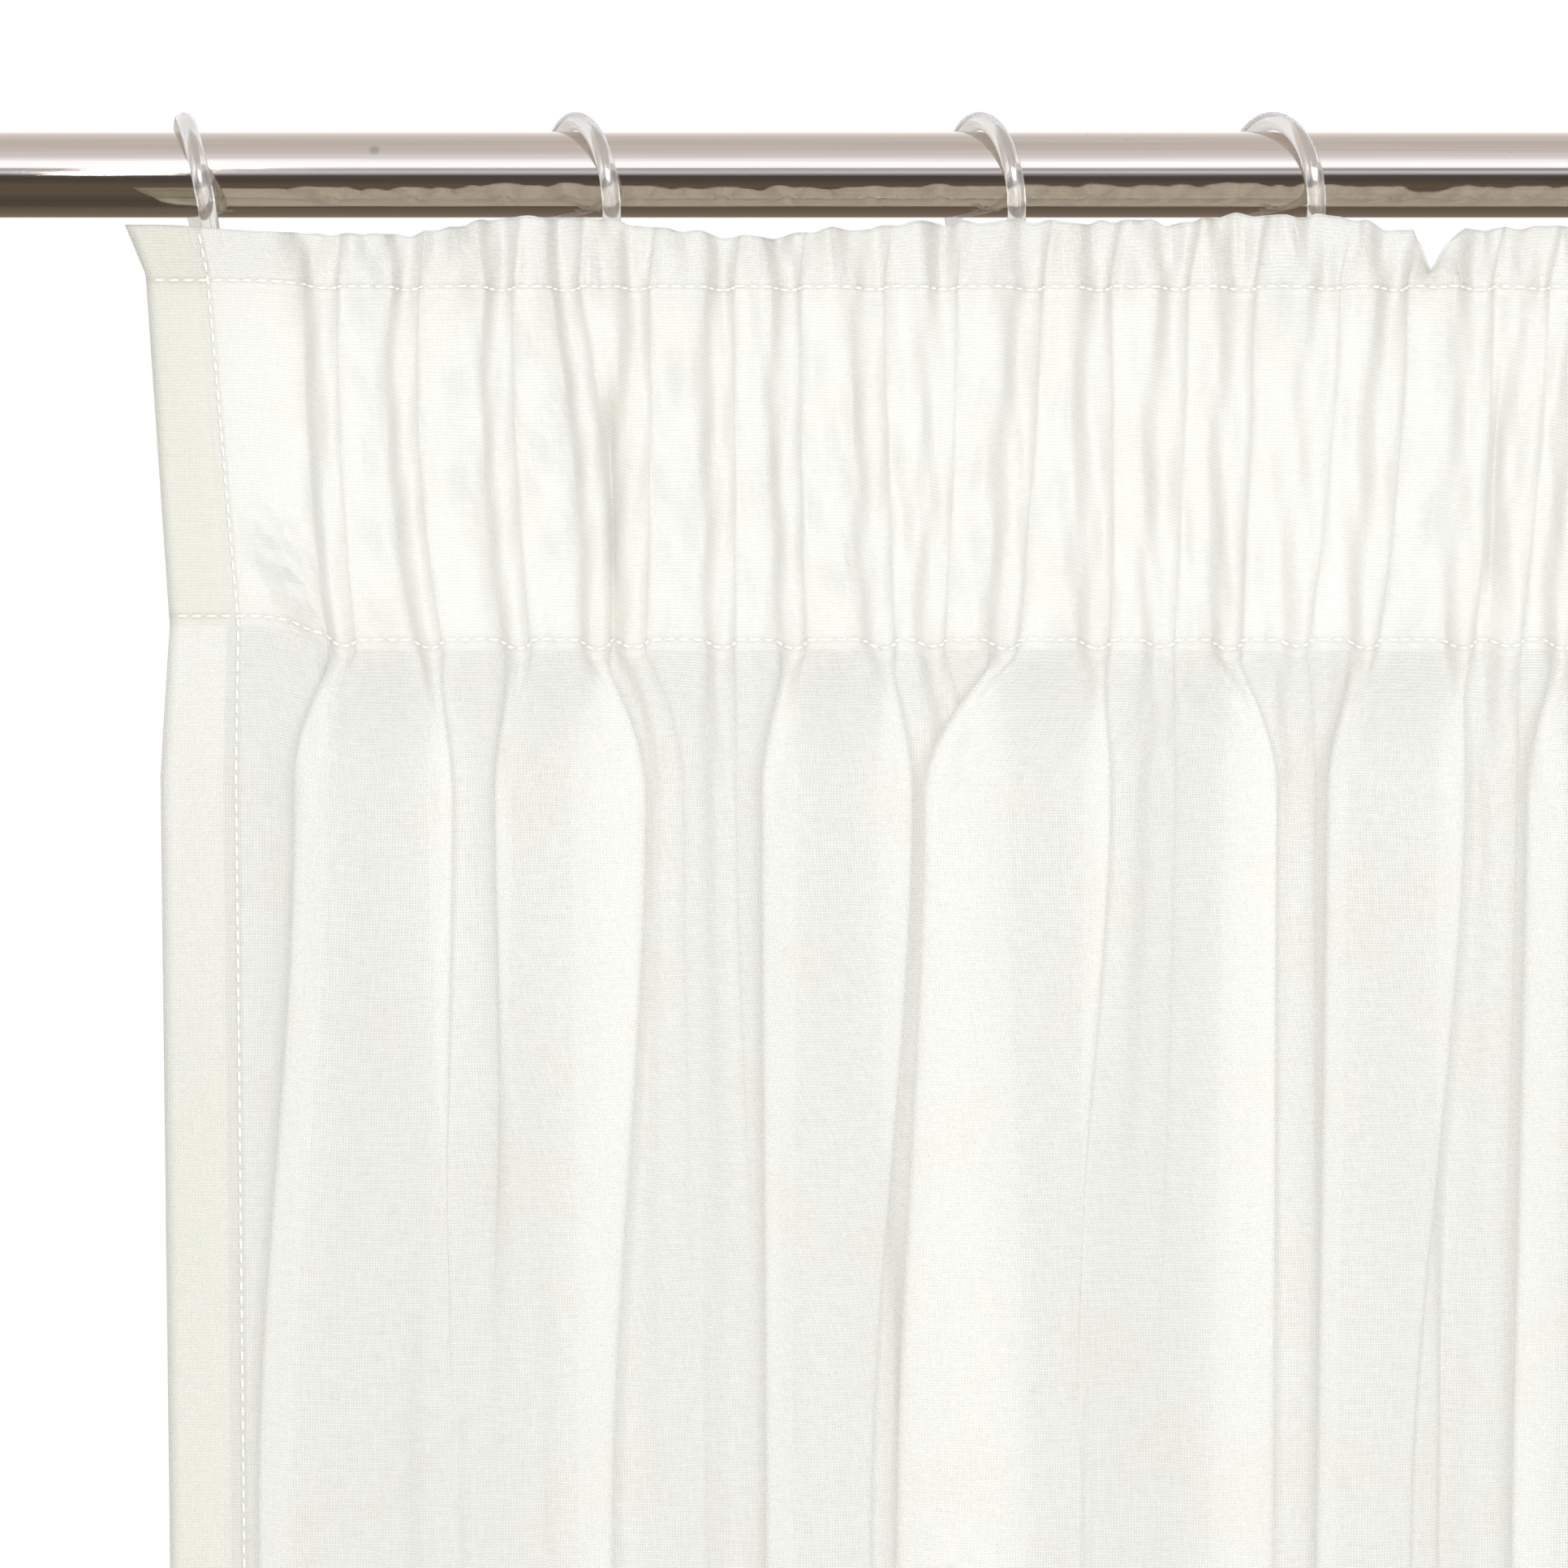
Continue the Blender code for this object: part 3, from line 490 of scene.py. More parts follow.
def shares_at(z):
    """How much of each of the seven sections goes into the plan at height z.

    Between the tape's two rows of sewing the plan follows one smooth curve through three sections.
    Above and below, it passes from one section to the next.
    """
    shares = np.zeros(7)
    if z > STITCH_Z:
        up = (z - STITCH_Z) / (TOP_Z - STITCH_Z)
        shares[:2] = up, 1.0 - up
    elif z > TAPE_FOOT_Z:
        top, middle, foot = z - STITCH_Z, z - MIDDLE_Z, z - TAPE_FOOT_Z
        shares[1] = middle * foot / ((STITCH_Z - MIDDLE_Z) * (STITCH_Z - TAPE_FOOT_Z))
        shares[2] = top * foot / ((MIDDLE_Z - STITCH_Z) * (MIDDLE_Z - TAPE_FOOT_Z))
        shares[3] = top * middle / ((TAPE_FOOT_Z - STITCH_Z) * (TAPE_FOOT_Z - MIDDLE_Z))
    elif z > UPPER_Z:
        up = (z - UPPER_Z) / (TAPE_FOOT_Z - UPPER_Z)
        shares[3:5] = up ** 2, 1.0 - up ** 2
    elif z > LOWER_Z:
        down = ease((UPPER_Z - z) / (UPPER_Z - LOWER_Z))
        shares[4:6] = 1.0 - down, down
    else:
        down = (LOWER_Z - z) / (LOWER_Z - HEM_Z)
        shares[5:] = 1.0 - down, down
    return shares


def plan(z, parts):
    """The section at height z, as x and distance forward of every column."""
    return np.tensordot(shares_at(z), np.array(parts), axes=1)


def side_flare(z, x):
    """Sideways shift of the flat ends at height z, strongest at the very edge, where they flare, and at
    the side hem's inner edge, where they lean outwards."""
    out = np.interp(z, EDGE_FLARE["z"], EDGE_FLARE["out"])
    reach = SIDE_COLUMNS[-1]
    edge = out * (np.clip((x - WIDTH) / reach + 1.0, 0.0, 1.0) - np.clip(1.0 - x / reach, 0.0, 1.0))
    lean = np.interp(z, HEM_LEAN["z"], HEM_LEAN["out"])
    inner = np.interp(np.minimum(x, WIDTH - x), (0.0, SIDE_HEM, HEM_LEAN_TO), (0.0, 1.0, 0.0))
    return edge + lean * inner * np.sign(x - 0.5 * WIDTH)


def droop(z, x, forward):
    """How far the cloth hangs below its flat height: all across the gathers, and more on the ridges."""
    inside = ease((np.minimum(x, WIDTH - x) - DROOP_FROM) / (DROOP_TO - DROOP_FROM))
    ridge = RIDGE_DROOP * np.clip(forward / RIDGE_FULL, 0.0, 1.0)
    share = np.interp(z, DROOP_SHARE["z"], DROOP_SHARE["share"])
    ridge_share = np.interp(z, (UPPER_Z - RIDGE_DROOP_ENDS, UPPER_Z), (0.0, 1.0))
    return share * inside * (DROOP + ridge * ridge_share)


def crown(x):
    """Height of the frill's edge above its line, with the folded notch cut in."""
    rise = np.interp(x, [fold.top_x for fold in FOLDS], [fold.crown for fold in FOLDS])
    reach = np.where(x < NOTCH_X, NOTCH_LEFT, NOTCH_RIGHT)
    notch = NOTCH_DEPTH * np.clip(1.0 - np.abs(x - NOTCH_X) / reach, 0.0, 1.0)
    return rise * ease(np.minimum(x, WIDTH - x) / CROWN_FROM) - notch


def row_heights():
    """Heights of the fine rows, evenly spaced inside each band."""
    feet = [band.top for band in ROW_BANDS[1:]] + [HEM_Z]
    bands = [np.linspace(band.top, foot, round((band.top - foot) / band.step), endpoint=False)
             for band, foot in zip(ROW_BANDS, feet)]
    return np.concatenate(bands + [[HEM_Z]])


def smooth_columns(rows, steps):
    """More columns, on a cubic curve through those given. Each row's curve is timed by the square root
    of the distance between its points, so that it neither loops nor swings wide at a tight fold."""
    before = 2.0 * rows[:, :1] - rows[:, 1:2]
    after = 2.0 * rows[:, -1:] - rows[:, -2:-1]
    ends = np.concatenate([before, rows, after], axis=1)
    times = np.sqrt(np.linalg.norm(np.diff(ends, axis=1), axis=2, keepdims=True)) + 1e-3
    knots = np.concatenate([np.zeros_like(times[:, :1]), np.cumsum(times, axis=1)], axis=1)
    t0, t1, t2, t3 = (knots[:, i:knots.shape[1] - 3 + i] for i in range(4))
    p0, p1, p2, p3 = (ends[:, i:ends.shape[1] - 3 + i] for i in range(4))
    spans = []
    for step in range(steps):
        t = t1 + (t2 - t1) * step / steps
        a1 = p0 + (p1 - p0) * (t - t0) / (t1 - t0)
        a2 = p1 + (p2 - p1) * (t - t1) / (t2 - t1)
        a3 = p2 + (p3 - p2) * (t - t2) / (t3 - t2)
        b1 = a1 + (a2 - a1) * (t - t0) / (t2 - t0)
        b2 = a2 + (a3 - a2) * (t - t1) / (t3 - t1)
        spans.append(b1 + (b2 - b1) * (t - t1) / (t2 - t1))
    fine = np.stack(spans, axis=2).reshape(rows.shape[0], -1, 3)
    return np.concatenate([fine, rows[:, -1:]], axis=1)


def ripples(table, x, z, seed):
    """Sum of slanted waves along x, each fading in and out down the cloth at its own slow rate."""
    draw = np.random.default_rng(seed)
    total = np.zeros(np.broadcast(x, z).shape)
    for wave, reach, slant in table:
        start, fade = draw.uniform(0.0, math.tau, 2)
        across = math.tau * (x + slant * z * 10.0) / wave + start
        slow = z / (4.0 * wave) + x / (7.0 * wave) + fade
        strength = RIPPLE_KEEPS + (1.0 - RIPPLE_KEEPS) * np.sin(slow)
        total += reach * strength * np.cos(across)
    return total


def creases(x, z):
    """How far the pressed creases stand forward: along each one a bell shape, fading at both ends."""
    total = np.zeros(np.broadcast(x, z).shape)
    for crease in CREASES:
        length = math.hypot(crease.to_x - crease.x, crease.to_z - crease.z)
        way = ((crease.to_x - crease.x) / length, (crease.to_z - crease.z) / length)
        along = ((x - crease.x) * way[0] + (z - crease.z) * way[1]) / length
        beside = (x - crease.x) * way[1] - (z - crease.z) * way[0]
        fade = ease(along / CREASE_START) * ease((1.0 - along) / CREASE_END)
        total += crease.reach * fade * np.exp(-(beside / crease.half) ** 2)
    return total


def sheet_surface(levels, parts, behind=0.0):
    """Fine grid of points on a sheet's middle, in rows down the cloth. behind moves it back."""
    rows = []
    for z in levels:
        x, forward = plan(z, parts)
        height = z - droop(z, x, forward)
        y = np.interp(z, HANG["z"], HANG["y"]) + behind - forward
        rows.append(np.stack([ROD_OVERHANG + x + side_flare(z, x), y, height], axis=-1))
    fine = smooth_columns(np.array(rows), COLUMN_STEPS)
    x, z = fine[:, :, 0] - ROD_OVERHANG, np.asarray(levels)[:, None]
    frill = np.clip((z - STITCH_Z) / (TOP_Z - STITCH_Z), 0.0, 1.0)
    from_hem = np.minimum(x, WIDTH - x) - SIDE_HEM
    edge_ripples = ease(from_hem / EDGE_COMES_IN) * ripples(FRILL_RIPPLES, x, 0.0, SEED + 2)
    fine[:, :, 2] += frill * (crown(x) + edge_ripples)
    inside = ease(from_hem / RIPPLES_COME_IN)
    flaps = np.square(ripples(FRILL_FLAPS, x, 0.0, SEED + 3))
    fine[:, :, 1] -= frill ** FLAP_GROWTH * inside * flaps
    in_heading = np.interp(z, HEADING_SHARE["z"], HEADING_SHARE["share"])
    in_body = np.interp(z, BODY_SHARE["z"], BODY_SHARE["share"])
    fine[:, :, 1] -= inside * in_heading * ripples(HEADING_RIPPLES, x, z, SEED) + creases(x, z)
    fine[:, :, 1] -= inside * in_body * ripples(BODY_RIPPLES, x, z, SEED + 1)
    return fine


def surface_normals(grid):
    """Unit normals of a grid of points, towards the room: the way down crossed with the way across."""
    normals = np.cross(np.gradient(grid, axis=0), np.gradient(grid, axis=1))
    return normals / np.maximum(np.linalg.norm(normals, axis=2, keepdims=True), 1e-9)


def lengths_along(points, axis):
    """Distance run along the given axis of a grid of points, starting from 0."""
    steps = np.linalg.norm(np.diff(points, axis=axis), axis=-1)
    start = np.zeros_like(np.take(steps, [0], axis=axis))
    return np.concatenate([start, np.cumsum(steps, axis=axis)], axis=axis)


# ---------------------------------------------------------------------------------------------------
# Meshes


def grid_faces(row_count, column_count, closed=False):
    """Four-sided faces of a grid, wound so that rows down and columns across face the room.

    closed joins the last column to the first.
    """
    index = np.arange(row_count * column_count).reshape(row_count, column_count)
    if closed:
        index = np.concatenate([index, index[:, :1]], axis=1)
    corners = (index[:-1, :-1], index[1:, :-1], index[1:, 1:], index[:-1, 1:])
    return np.stack(corners, axis=-1).reshape(-1, 4)


def make_piece(name, points, faces, material, maps=None, smooth=True):
    """A mesh object from points in millimetres. maps holds named coordinates for every point."""
    mesh = bpy.data.meshes.new(name)
    mesh.from_pydata((points.reshape(-1, 3) * MM).tolist(), [], [face.tolist() for face in faces])
    corners = np.zeros(len(mesh.loops), dtype=np.int32)
    mesh.loops.foreach_get("vertex_index", corners)
    for label, values in (maps or {}).items():
        layer = mesh.uv_layers.new(name=label)
        layer.uv.foreach_set("vector", values.reshape(-1, 2)[corners].astype(np.float32).ravel())
    mesh.materials.append(material)
    if smooth:
        mesh.shade_smooth()
    piece = bpy.data.objects.new(name, mesh)
    bpy.context.collection.objects.link(piece)
    return piece


def tube(path, radii, sides, side_axis):
    """Points and faces of a closed tube: a circle of the given radius at each point of the path, in the
    plane square to the path, with both ends closed by a flat face."""
    ahead = np.gradient(path, axis=0)
    ahead /= np.linalg.norm(ahead, axis=1, keepdims=True)
    out = np.asarray(side_axis) - ahead * (ahead @ np.asarray(side_axis))[:, None]
    out /= np.linalg.norm(out, axis=1, keepdims=True)
    up = np.cross(ahead, out)
    roll = np.linspace(0.0, math.tau, sides, endpoint=False)[None, :, None]
    reach = np.asarray(radii)[:, None, None]
    points = path[:, None] + reach * (np.cos(roll) * out[:, None] + np.sin(roll) * up[:, None])
    faces = list(grid_faces(len(path), sides, closed=True)[:, ::-1])
    last = (len(path) - 1) * sides
    return points.reshape(-1, 3), faces + [np.arange(sides)[::-1], np.arange(last, last + sides)]


def torus(radius, wire, segments, sides):
    """A hoop of round wire in the YZ plane: a small circle carried round a large one."""
    turn = np.linspace(0.0, math.tau, segments, endpoint=False)[:, None]
    roll = np.linspace(0.0, math.tau, sides, endpoint=False)[None, :]
    reach = radius + wire * np.cos(roll)
    points = np.stack([wire * np.sin(roll) + 0.0 * turn, reach * np.sin(turn), reach * np.cos(turn)], axis=-1)
    index = np.arange(segments * sides).reshape(segments, sides)
    after = np.roll(index, -1, axis=0)
    faces = np.stack([index, np.roll(index, -1, axis=1), np.roll(after, -1, axis=1), after], axis=-1)
    return points.reshape(-1, 3), faces.reshape(-1, 4)


def joined(shapes):
    """Several (points, faces) shapes as one."""
    points, faces, base = [], [], 0
    for some_points, some_faces in shapes:
        points.append(some_points)
        faces.extend(np.asarray(face) + base for face in some_faces)
        base += len(some_points)
    return np.concatenate(points), faces


def dress(piece, slot, *nodes):
    """Fix a piece to the curtain's one body and hide the solids it stands for. Its slot is not used."""
    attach(piece, "root")
    if nodes:
        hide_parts(*nodes)


# ---------------------------------------------------------------------------------------------------
# Materials


def linear(code, alpha=1.0):
    """sRGB hex to linear colour."""
    values = [int(code[i:i + 2], 16) / 255.0 for i in (1, 3, 5)]
    return tuple(v / 12.92 if v <= 0.04045 else ((v + 0.055) / 1.055) ** 2.4 for v in values) + (alpha,)


def add(tree, kind, inputs=None, **settings):
    """Add a node with its settings. inputs maps a socket's name or number to a value or to an output."""
    made = tree.nodes.new(kind)
    for name, value in settings.items():
        setattr(made, name, value)
    for socket, value in (inputs or {}).items():
        if isinstance(value, bpy.types.NodeSocket):
            tree.links.new(value, made.inputs[socket])
        else:
            made.inputs[socket].default_value = value
    return made


def blank_material(name):
    """A node material holding only its output."""
    material = bpy.data.materials.new(name)
    material.use_nodes = True
    material.node_tree.nodes.clear()
    return material, material.node_tree


def voile_material(cloth):
    """Cotton voile: high-twist yarns in a fine, open plain weave. Matt threads that glow when lit from
    behind, clear gaps between them, and short slubs both ways. Real threads stand 0.63 mm apart; they
    are drawn a little coarser so that they show. At the side hems, where the cloth is folded double, a
    darker cream is painted in as shade: fully in the heading, weakly just below the tape and fully again
    lower down. Along the sewing the cloth is drawn into a shallow groove, and its colour is darkened
    there as painted shade."""
    material, tree = blank_material("plain weave cotton voile")
    place = add(tree, "ShaderNodeUVMap", uv_map="weave")
    split = add(tree, "ShaderNodeSeparateXYZ", {0: place.outputs[0]})
    waver = add(tree, "ShaderNodeTexNoise", {"Vector": place.outputs[0], "Scale": 90.0, "Detail": 2.0})
    bend = add(tree, "ShaderNodeSeparateColor", {0: waver.outputs["Color"]})
    heights, openings = [], []
    for own, stretch in ((0, (1.0 / (1.3 * cloth.thread_pitch), 190.0, 1.0)),
                         (1, (190.0, 1.0 / (1.3 * cloth.thread_pitch), 1.0))):
        along = add(tree, "ShaderNodeVectorMath", {0: place.outputs[0], 1: stretch}, operation="MULTIPLY")
        slub = add(tree, "ShaderNodeTexNoise", {"Vector": along.outputs[0], "Scale": 1.0, "Detail": 3.0})
        phase = add(tree, "ShaderNodeMath", {0: split.outputs[own], 1: math.tau / cloth.thread_pitch},
                    operation="MULTIPLY")
        shift = add(tree, "ShaderNodeMath", {0: bend.outputs[own], 1: 9.0, 2: phase.outputs[0]},
                    operation="MULTIPLY_ADD")
        wave = add(tree, "ShaderNodeMath", {0: shift.outputs[0]}, operation="COSINE")
        thick = add(tree, "ShaderNodeMath", {0: slub.outputs["Fac"], 1: 4.2, 2: wave.outputs[0]},
                    operation="MULTIPLY_ADD")
        opening = add(tree, "ShaderNodeMapRange", {0: thick.outputs[0], 1: 1.2, 2: 3.6, 3: 0.63, 4: 0.0},
                      interpolation_type="SMOOTHSTEP")
        heights.append(wave.outputs[0])
        openings.append(opening.outputs[0])
    open_weave = add(tree, "ShaderNodeMath", {0: openings[0], 1: openings[1]}, operation="MULTIPLY")
    tape_middle = (TOP_Z - 0.5 * (STITCH_Z + TAPE_FOOT_Z)) * MM
    from_middle = add(tree, "ShaderNodeMath", {0: split.outputs[1], 1: tape_middle})
    off_middle = add(tree, "ShaderNodeMath", {0: from_middle.outputs[0]}, operation="ABSOLUTE")
    taped = add(tree, "ShaderNodeMath", {0: off_middle.outputs[0], 1: 0.5 * (STITCH_Z - TAPE_FOOT_Z) * MM},
                operation="LESS_THAN")
    closing = add(tree, "ShaderNodeMapRange", {0: taped.outputs[0], 3: 1.0, 4: 0.45})
    gap = add(tree, "ShaderNodeMath", {0: open_weave.outputs[0], 1: closing.outputs[0]}, operation="MULTIPLY")
    cover = add(tree, "ShaderNodeMath", {0: 1.0, 1: gap.outputs[0]}, operation="SUBTRACT")

    sewn_at = add(tree, "ShaderNodeUVMap", uv_map="sewn")
    nearest = add(tree, "ShaderNodeVectorMath", {0: sewn_at.outputs[0]}, operation="ABSOLUTE")
    reach = add(tree, "ShaderNodeSeparateXYZ", {0: nearest.outputs[0]})
    near = add(tree, "ShaderNodeMath", {0: reach.outputs[0], 1: reach.outputs[1]}, operation="MINIMUM")
    groove = add(tree, "ShaderNodeMapRange", {0: near.outputs[0], 1: 0.2 * MM, 2: 1.3 * MM, 3: 1.0, 4: 0.0},
                 interpolation_type="SMOOTHSTEP")
    weave = add(tree, "ShaderNodeMath", {0: heights[0], 1: heights[1]}, operation="MAXIMUM")
    height = add(tree, "ShaderNodeMath", {0: groove.outputs[0], 1: -4.0, 2: weave.outputs[0]},
                 operation="MULTIPLY_ADD")
    bump = add(tree, "ShaderNodeBump", {"Strength": 0.3, "Distance": 0.06 * MM, "Height": height.outputs[0]})

    cloud = add(tree, "ShaderNodeTexNoise", {"Vector": place.outputs[0], "Scale": 30.0, "Detail": 3.0})
    aged = add(tree, "ShaderNodeMapRange", {0: cloud.outputs["Fac"], 1: 0.5, 2: 0.95})
    plain = add(tree, "ShaderNodeMix", {
        0: aged.outputs[0], 6: linear(cloth.cloth_colour), 7: linear("#FBFAF3")}, data_type="RGBA")
    # Painted shade on the side hems: the hem colour is mixed in where the cloth is double. It is mixed in
    # fully in the heading, weakly just below the tape and fully again lower down.
    inward = add(tree, "ShaderNodeSeparateXYZ", {0: sewn_at.outputs[0]})
    hem = add(tree, "ShaderNodeMath", {0: inward.outputs[0], 1: (SIDE_HEM - SIDE_STITCH_IN) * MM},
              operation="LESS_THAN")
    high = add(tree, "ShaderNodeMath", {0: split.outputs[1], 1: (TAPE_FOOT_Z - TOP_Z) * MM},
               operation="GREATER_THAN")
    lower = add(tree, "ShaderNodeMapRange", {
        0: split.outputs[1], 1: (LOWER_Z - TOP_Z) * MM, 2: (TAPE_FOOT_Z - TOP_Z) * MM, 3: 1.6, 4: 0.3})
    shade_by_height = add(tree, "ShaderNodeMath", {0: high.outputs[0], 1: lower.outputs[0]}, operation="MAXIMUM")
    hem_shade_share = add(tree, "ShaderNodeMath", {0: hem.outputs[0], 1: shade_by_height.outputs[0]}, operation="MULTIPLY")
    folded = add(tree, "ShaderNodeMix", {
        0: hem_shade_share.outputs[0], 6: plain.outputs[2], 7: linear(cloth.hem_shade_colour)}, data_type="RGBA")
    # Painted shade along the sewing: in the groove the colour is darkened towards #DEDCD0.
    shade = add(tree, "ShaderNodeMath", {0: groove.outputs[0], 1: 0.22}, operation="MULTIPLY")
    tone = add(tree, "ShaderNodeMix", {0: shade.outputs[0], 6: folded.outputs[2], 7: linear("#DEDCD0")},
               data_type="RGBA")
    matt = add(tree, "ShaderNodeBsdfPrincipled", {
        "Base Color": tone.outputs[2], "Roughness": 0.88, "Sheen Weight": 0.25, "Sheen Roughness": 0.4,
        "Normal": bump.outputs[0]})
    warmed = add(tree, "ShaderNodeMix", {0: 1.0, 6: tone.outputs[2], 7: linear("#FFFFFB")}, data_type="RGBA",
                 blend_type="MULTIPLY")
    glow = add(tree, "ShaderNodeBsdfTranslucent", {"Color": warmed.outputs[2], "Normal": bump.outputs[0]})
    threads = add(tree, "ShaderNodeMixShader", {0: 0.50, 1: matt.outputs[0], 2: glow.outputs[0]})
    clear = add(tree, "ShaderNodeBsdfTransparent")
    woven = add(tree, "ShaderNodeMixShader", {
        0: cover.outputs[0], 1: clear.outputs[0], 2: threads.outputs[0]})
    add(tree, "ShaderNodeOutputMaterial", {0: woven.outputs[0]})
    return material


def tape_material(cloth):
    """Woven polyester heading tape: close, bright white and matt, with a fine slanting twill."""
    material, tree = blank_material("woven heading tape")
    place = add(tree, "ShaderNodeUVMap", uv_map="weave")
    twill = add(tree, "ShaderNodeTexWave", {"Vector": place.outputs[0], "Scale": 1.0 / (6.0 * 0.9 * MM),
                                            "Distortion": 0.6, "Detail": 1.0}, bands_direction="DIAGONAL")
    bump = add(tree, "ShaderNodeBump", {
        "Strength": 0.6, "Distance": 0.12 * MM, "Height": twill.outputs["Fac"]})
    tone = add(tree, "ShaderNodeMix", {
        0: twill.outputs["Fac"], 6: linear("#F4F4F1"), 7: linear(cloth.tape_colour)}, data_type="RGBA")
    matt = add(tree, "ShaderNodeBsdfPrincipled", {
        "Base Color": tone.outputs[2], "Roughness": 0.8, "Sheen Weight": 0.2, "Normal": bump.outputs[0]})
    glow = add(tree, "ShaderNodeBsdfTranslucent", {"Color": linear("#FFFEFA")})
    mixed = add(tree, "ShaderNodeMixShader", {0: 0.42, 1: matt.outputs[0], 2: glow.outputs[0]})
    add(tree, "ShaderNodeOutputMaterial", {0: mixed.outputs[0]})
    return material


def sewing_material(cloth):
    """Spun polyester sewing thread: white, with the faint lustre of a two-ply twist."""
    material, tree = blank_material("spun polyester thread")
    place = add(tree, "ShaderNodeTexCoord")
    twist = add(tree, "ShaderNodeTexNoise", {
        "Vector": place.outputs["Object"], "Scale": 2400.0, "Detail": 1.0})
    tone = add(tree, "ShaderNodeMix", {
        0: twist.outputs["Fac"], 6: linear("#F7F6F1"), 7: linear(cloth.sewing_colour)}, data_type="RGBA")
    shader = add(tree, "ShaderNodeBsdfPrincipled", {
        "Base Color": tone.outputs[2], "Roughness": 0.55, "Sheen Weight": 0.2})
    add(tree, "ShaderNodeOutputMaterial", {0: shader.outputs[0]})
    return material


def rod_material(hardware):
    """Chrome-plated steel tube, drawn and then polished along its length: warm grey mirror with fine
    lengthwise lines, blurred patches where it has been rubbed, and a few dark specks."""
    material, tree = blank_material("polished chrome-plated tube")
    place = add(tree, "ShaderNodeTexCoord")
    lines_at = add(tree, "ShaderNodeVectorMath", {0: place.outputs["Object"], 1: (9.0, 3500.0, 3500.0)},
                   operation="MULTIPLY")
    lines = add(tree, "ShaderNodeTexNoise", {"Vector": lines_at.outputs[0], "Scale": 1.0, "Detail": 3.0})
    rubbed_at = add(tree, "ShaderNodeVectorMath", {0: place.outputs["Object"], 1: (14.0, 160.0, 160.0)},
                    operation="MULTIPLY")
    rubbed = add(tree, "ShaderNodeTexNoise", {"Vector": rubbed_at.outputs[0], "Scale": 1.0, "Detail": 2.0})
    both = add(tree, "ShaderNodeMath", {0: lines.outputs["Fac"], 1: rubbed.outputs["Fac"]},
               operation="MULTIPLY")
    rough = add(tree, "ShaderNodeMapRange", {0: both.outputs[0], 1: 0.15, 2: 0.42, 3: 0.04, 4: 0.11})
    speck = add(tree, "ShaderNodeTexVoronoi", {"Vector": place.outputs["Object"], "Scale": 95.0})
    spot = add(tree, "ShaderNodeMapRange", {0: speck.outputs["Distance"], 1: 0.02, 2: 0.05, 3: 0.72, 4: 1.0})
    drawn = add(tree, "ShaderNodeMapRange", {0: lines.outputs["Fac"], 1: 0.35, 2: 0.65, 3: 0.86, 4: 1.0})
    tarnish = add(tree, "ShaderNodeVectorMath", {0: place.outputs["Object"], 1: TARNISH_AT},
                  operation="DISTANCE")
    bright = add(tree, "ShaderNodeMapRange", {
        0: tarnish.outputs["Value"], 1: 0.6 * MM, 2: 1.5 * MM, 3: 0.6, 4: 1.0})
    marked = add(tree, "ShaderNodeMath", {0: spot.outputs[0], 1: bright.outputs[0]}, operation="MULTIPLY")
    clean = add(tree, "ShaderNodeMath", {0: marked.outputs[0], 1: drawn.outputs[0]}, operation="MULTIPLY")
    tone = add(tree, "ShaderNodeMix", {
        0: clean.outputs[0], 6: linear("#6E6560"), 7: linear(hardware.rod_colour)}, data_type="RGBA")
    bump = add(tree, "ShaderNodeBump", {
        "Strength": 0.3, "Distance": 0.02 * MM, "Height": lines.outputs["Fac"]})
    round_tube = add(tree, "ShaderNodeTangent", direction_type="RADIAL", axis="X")
    shader = add(tree, "ShaderNodeBsdfPrincipled", {
        "Base Color": tone.outputs[2], "Metallic": 1.0, "Roughness": rough.outputs[0],
        "Normal": bump.outputs[0], "Anisotropic": 0.9, "Tangent": round_tube.outputs[0]})
    add(tree, "ShaderNodeOutputMaterial", {0: shader.outputs[0]})
    return material


def ring_material(hardware):
    """Moulded clear polycarbonate: glassy and a little cloudy, with a faint flow texture from the mould."""
    material, tree = blank_material("moulded clear polycarbonate")
    place = add(tree, "ShaderNodeTexCoord")
    flow = add(tree, "ShaderNodeTexNoise", {"Vector": place.outputs["Object"], "Scale": 260.0, "Detail": 2.0})
    rough = add(tree, "ShaderNodeMapRange", {0: flow.outputs["Fac"], 1: 0.3, 2: 0.7, 3: 0.04, 4: 0.16})
    bump = add(tree, "ShaderNodeBump", {
        "Strength": 0.15, "Distance": 0.1 * MM, "Height": flow.outputs["Fac"]})
    shader = add(tree, "ShaderNodeBsdfPrincipled", {
        "Base Color": linear(hardware.ring_colour), "Roughness": rough.outputs[0], "IOR": 1.58,
        "Transmission Weight": 0.88, "Normal": bump.outputs[0]})
    add(tree, "ShaderNodeOutputMaterial", {0: shader.outputs[0]})
    return material


def hook_material(hardware):
    """Injection-moulded nylon: milky white with a soft shine and slight unevenness from the mould."""
    material, tree = blank_material("moulded white nylon")
    place = add(tree, "ShaderNodeTexCoord")
    skin = add(tree, "ShaderNodeTexNoise", {"Vector": place.outputs["Object"], "Scale": 700.0, "Detail": 2.0})
    rough = add(tree, "ShaderNodeMapRange", {0: skin.outputs["Fac"], 3: 0.3, 4: 0.48})
    shader = add(tree, "ShaderNodeBsdfPrincipled", {
        "Base Color": linear(hardware.hook_colour), "Roughness": rough.outputs[0], "IOR": 1.53,
        "Subsurface Weight": 0.2, "Subsurface Radius": (0.002, 0.002, 0.002)})
    add(tree, "ShaderNodeOutputMaterial", {0: shader.outputs[0]})
    return material


# ---------------------------------------------------------------------------------------------------
# Pieces


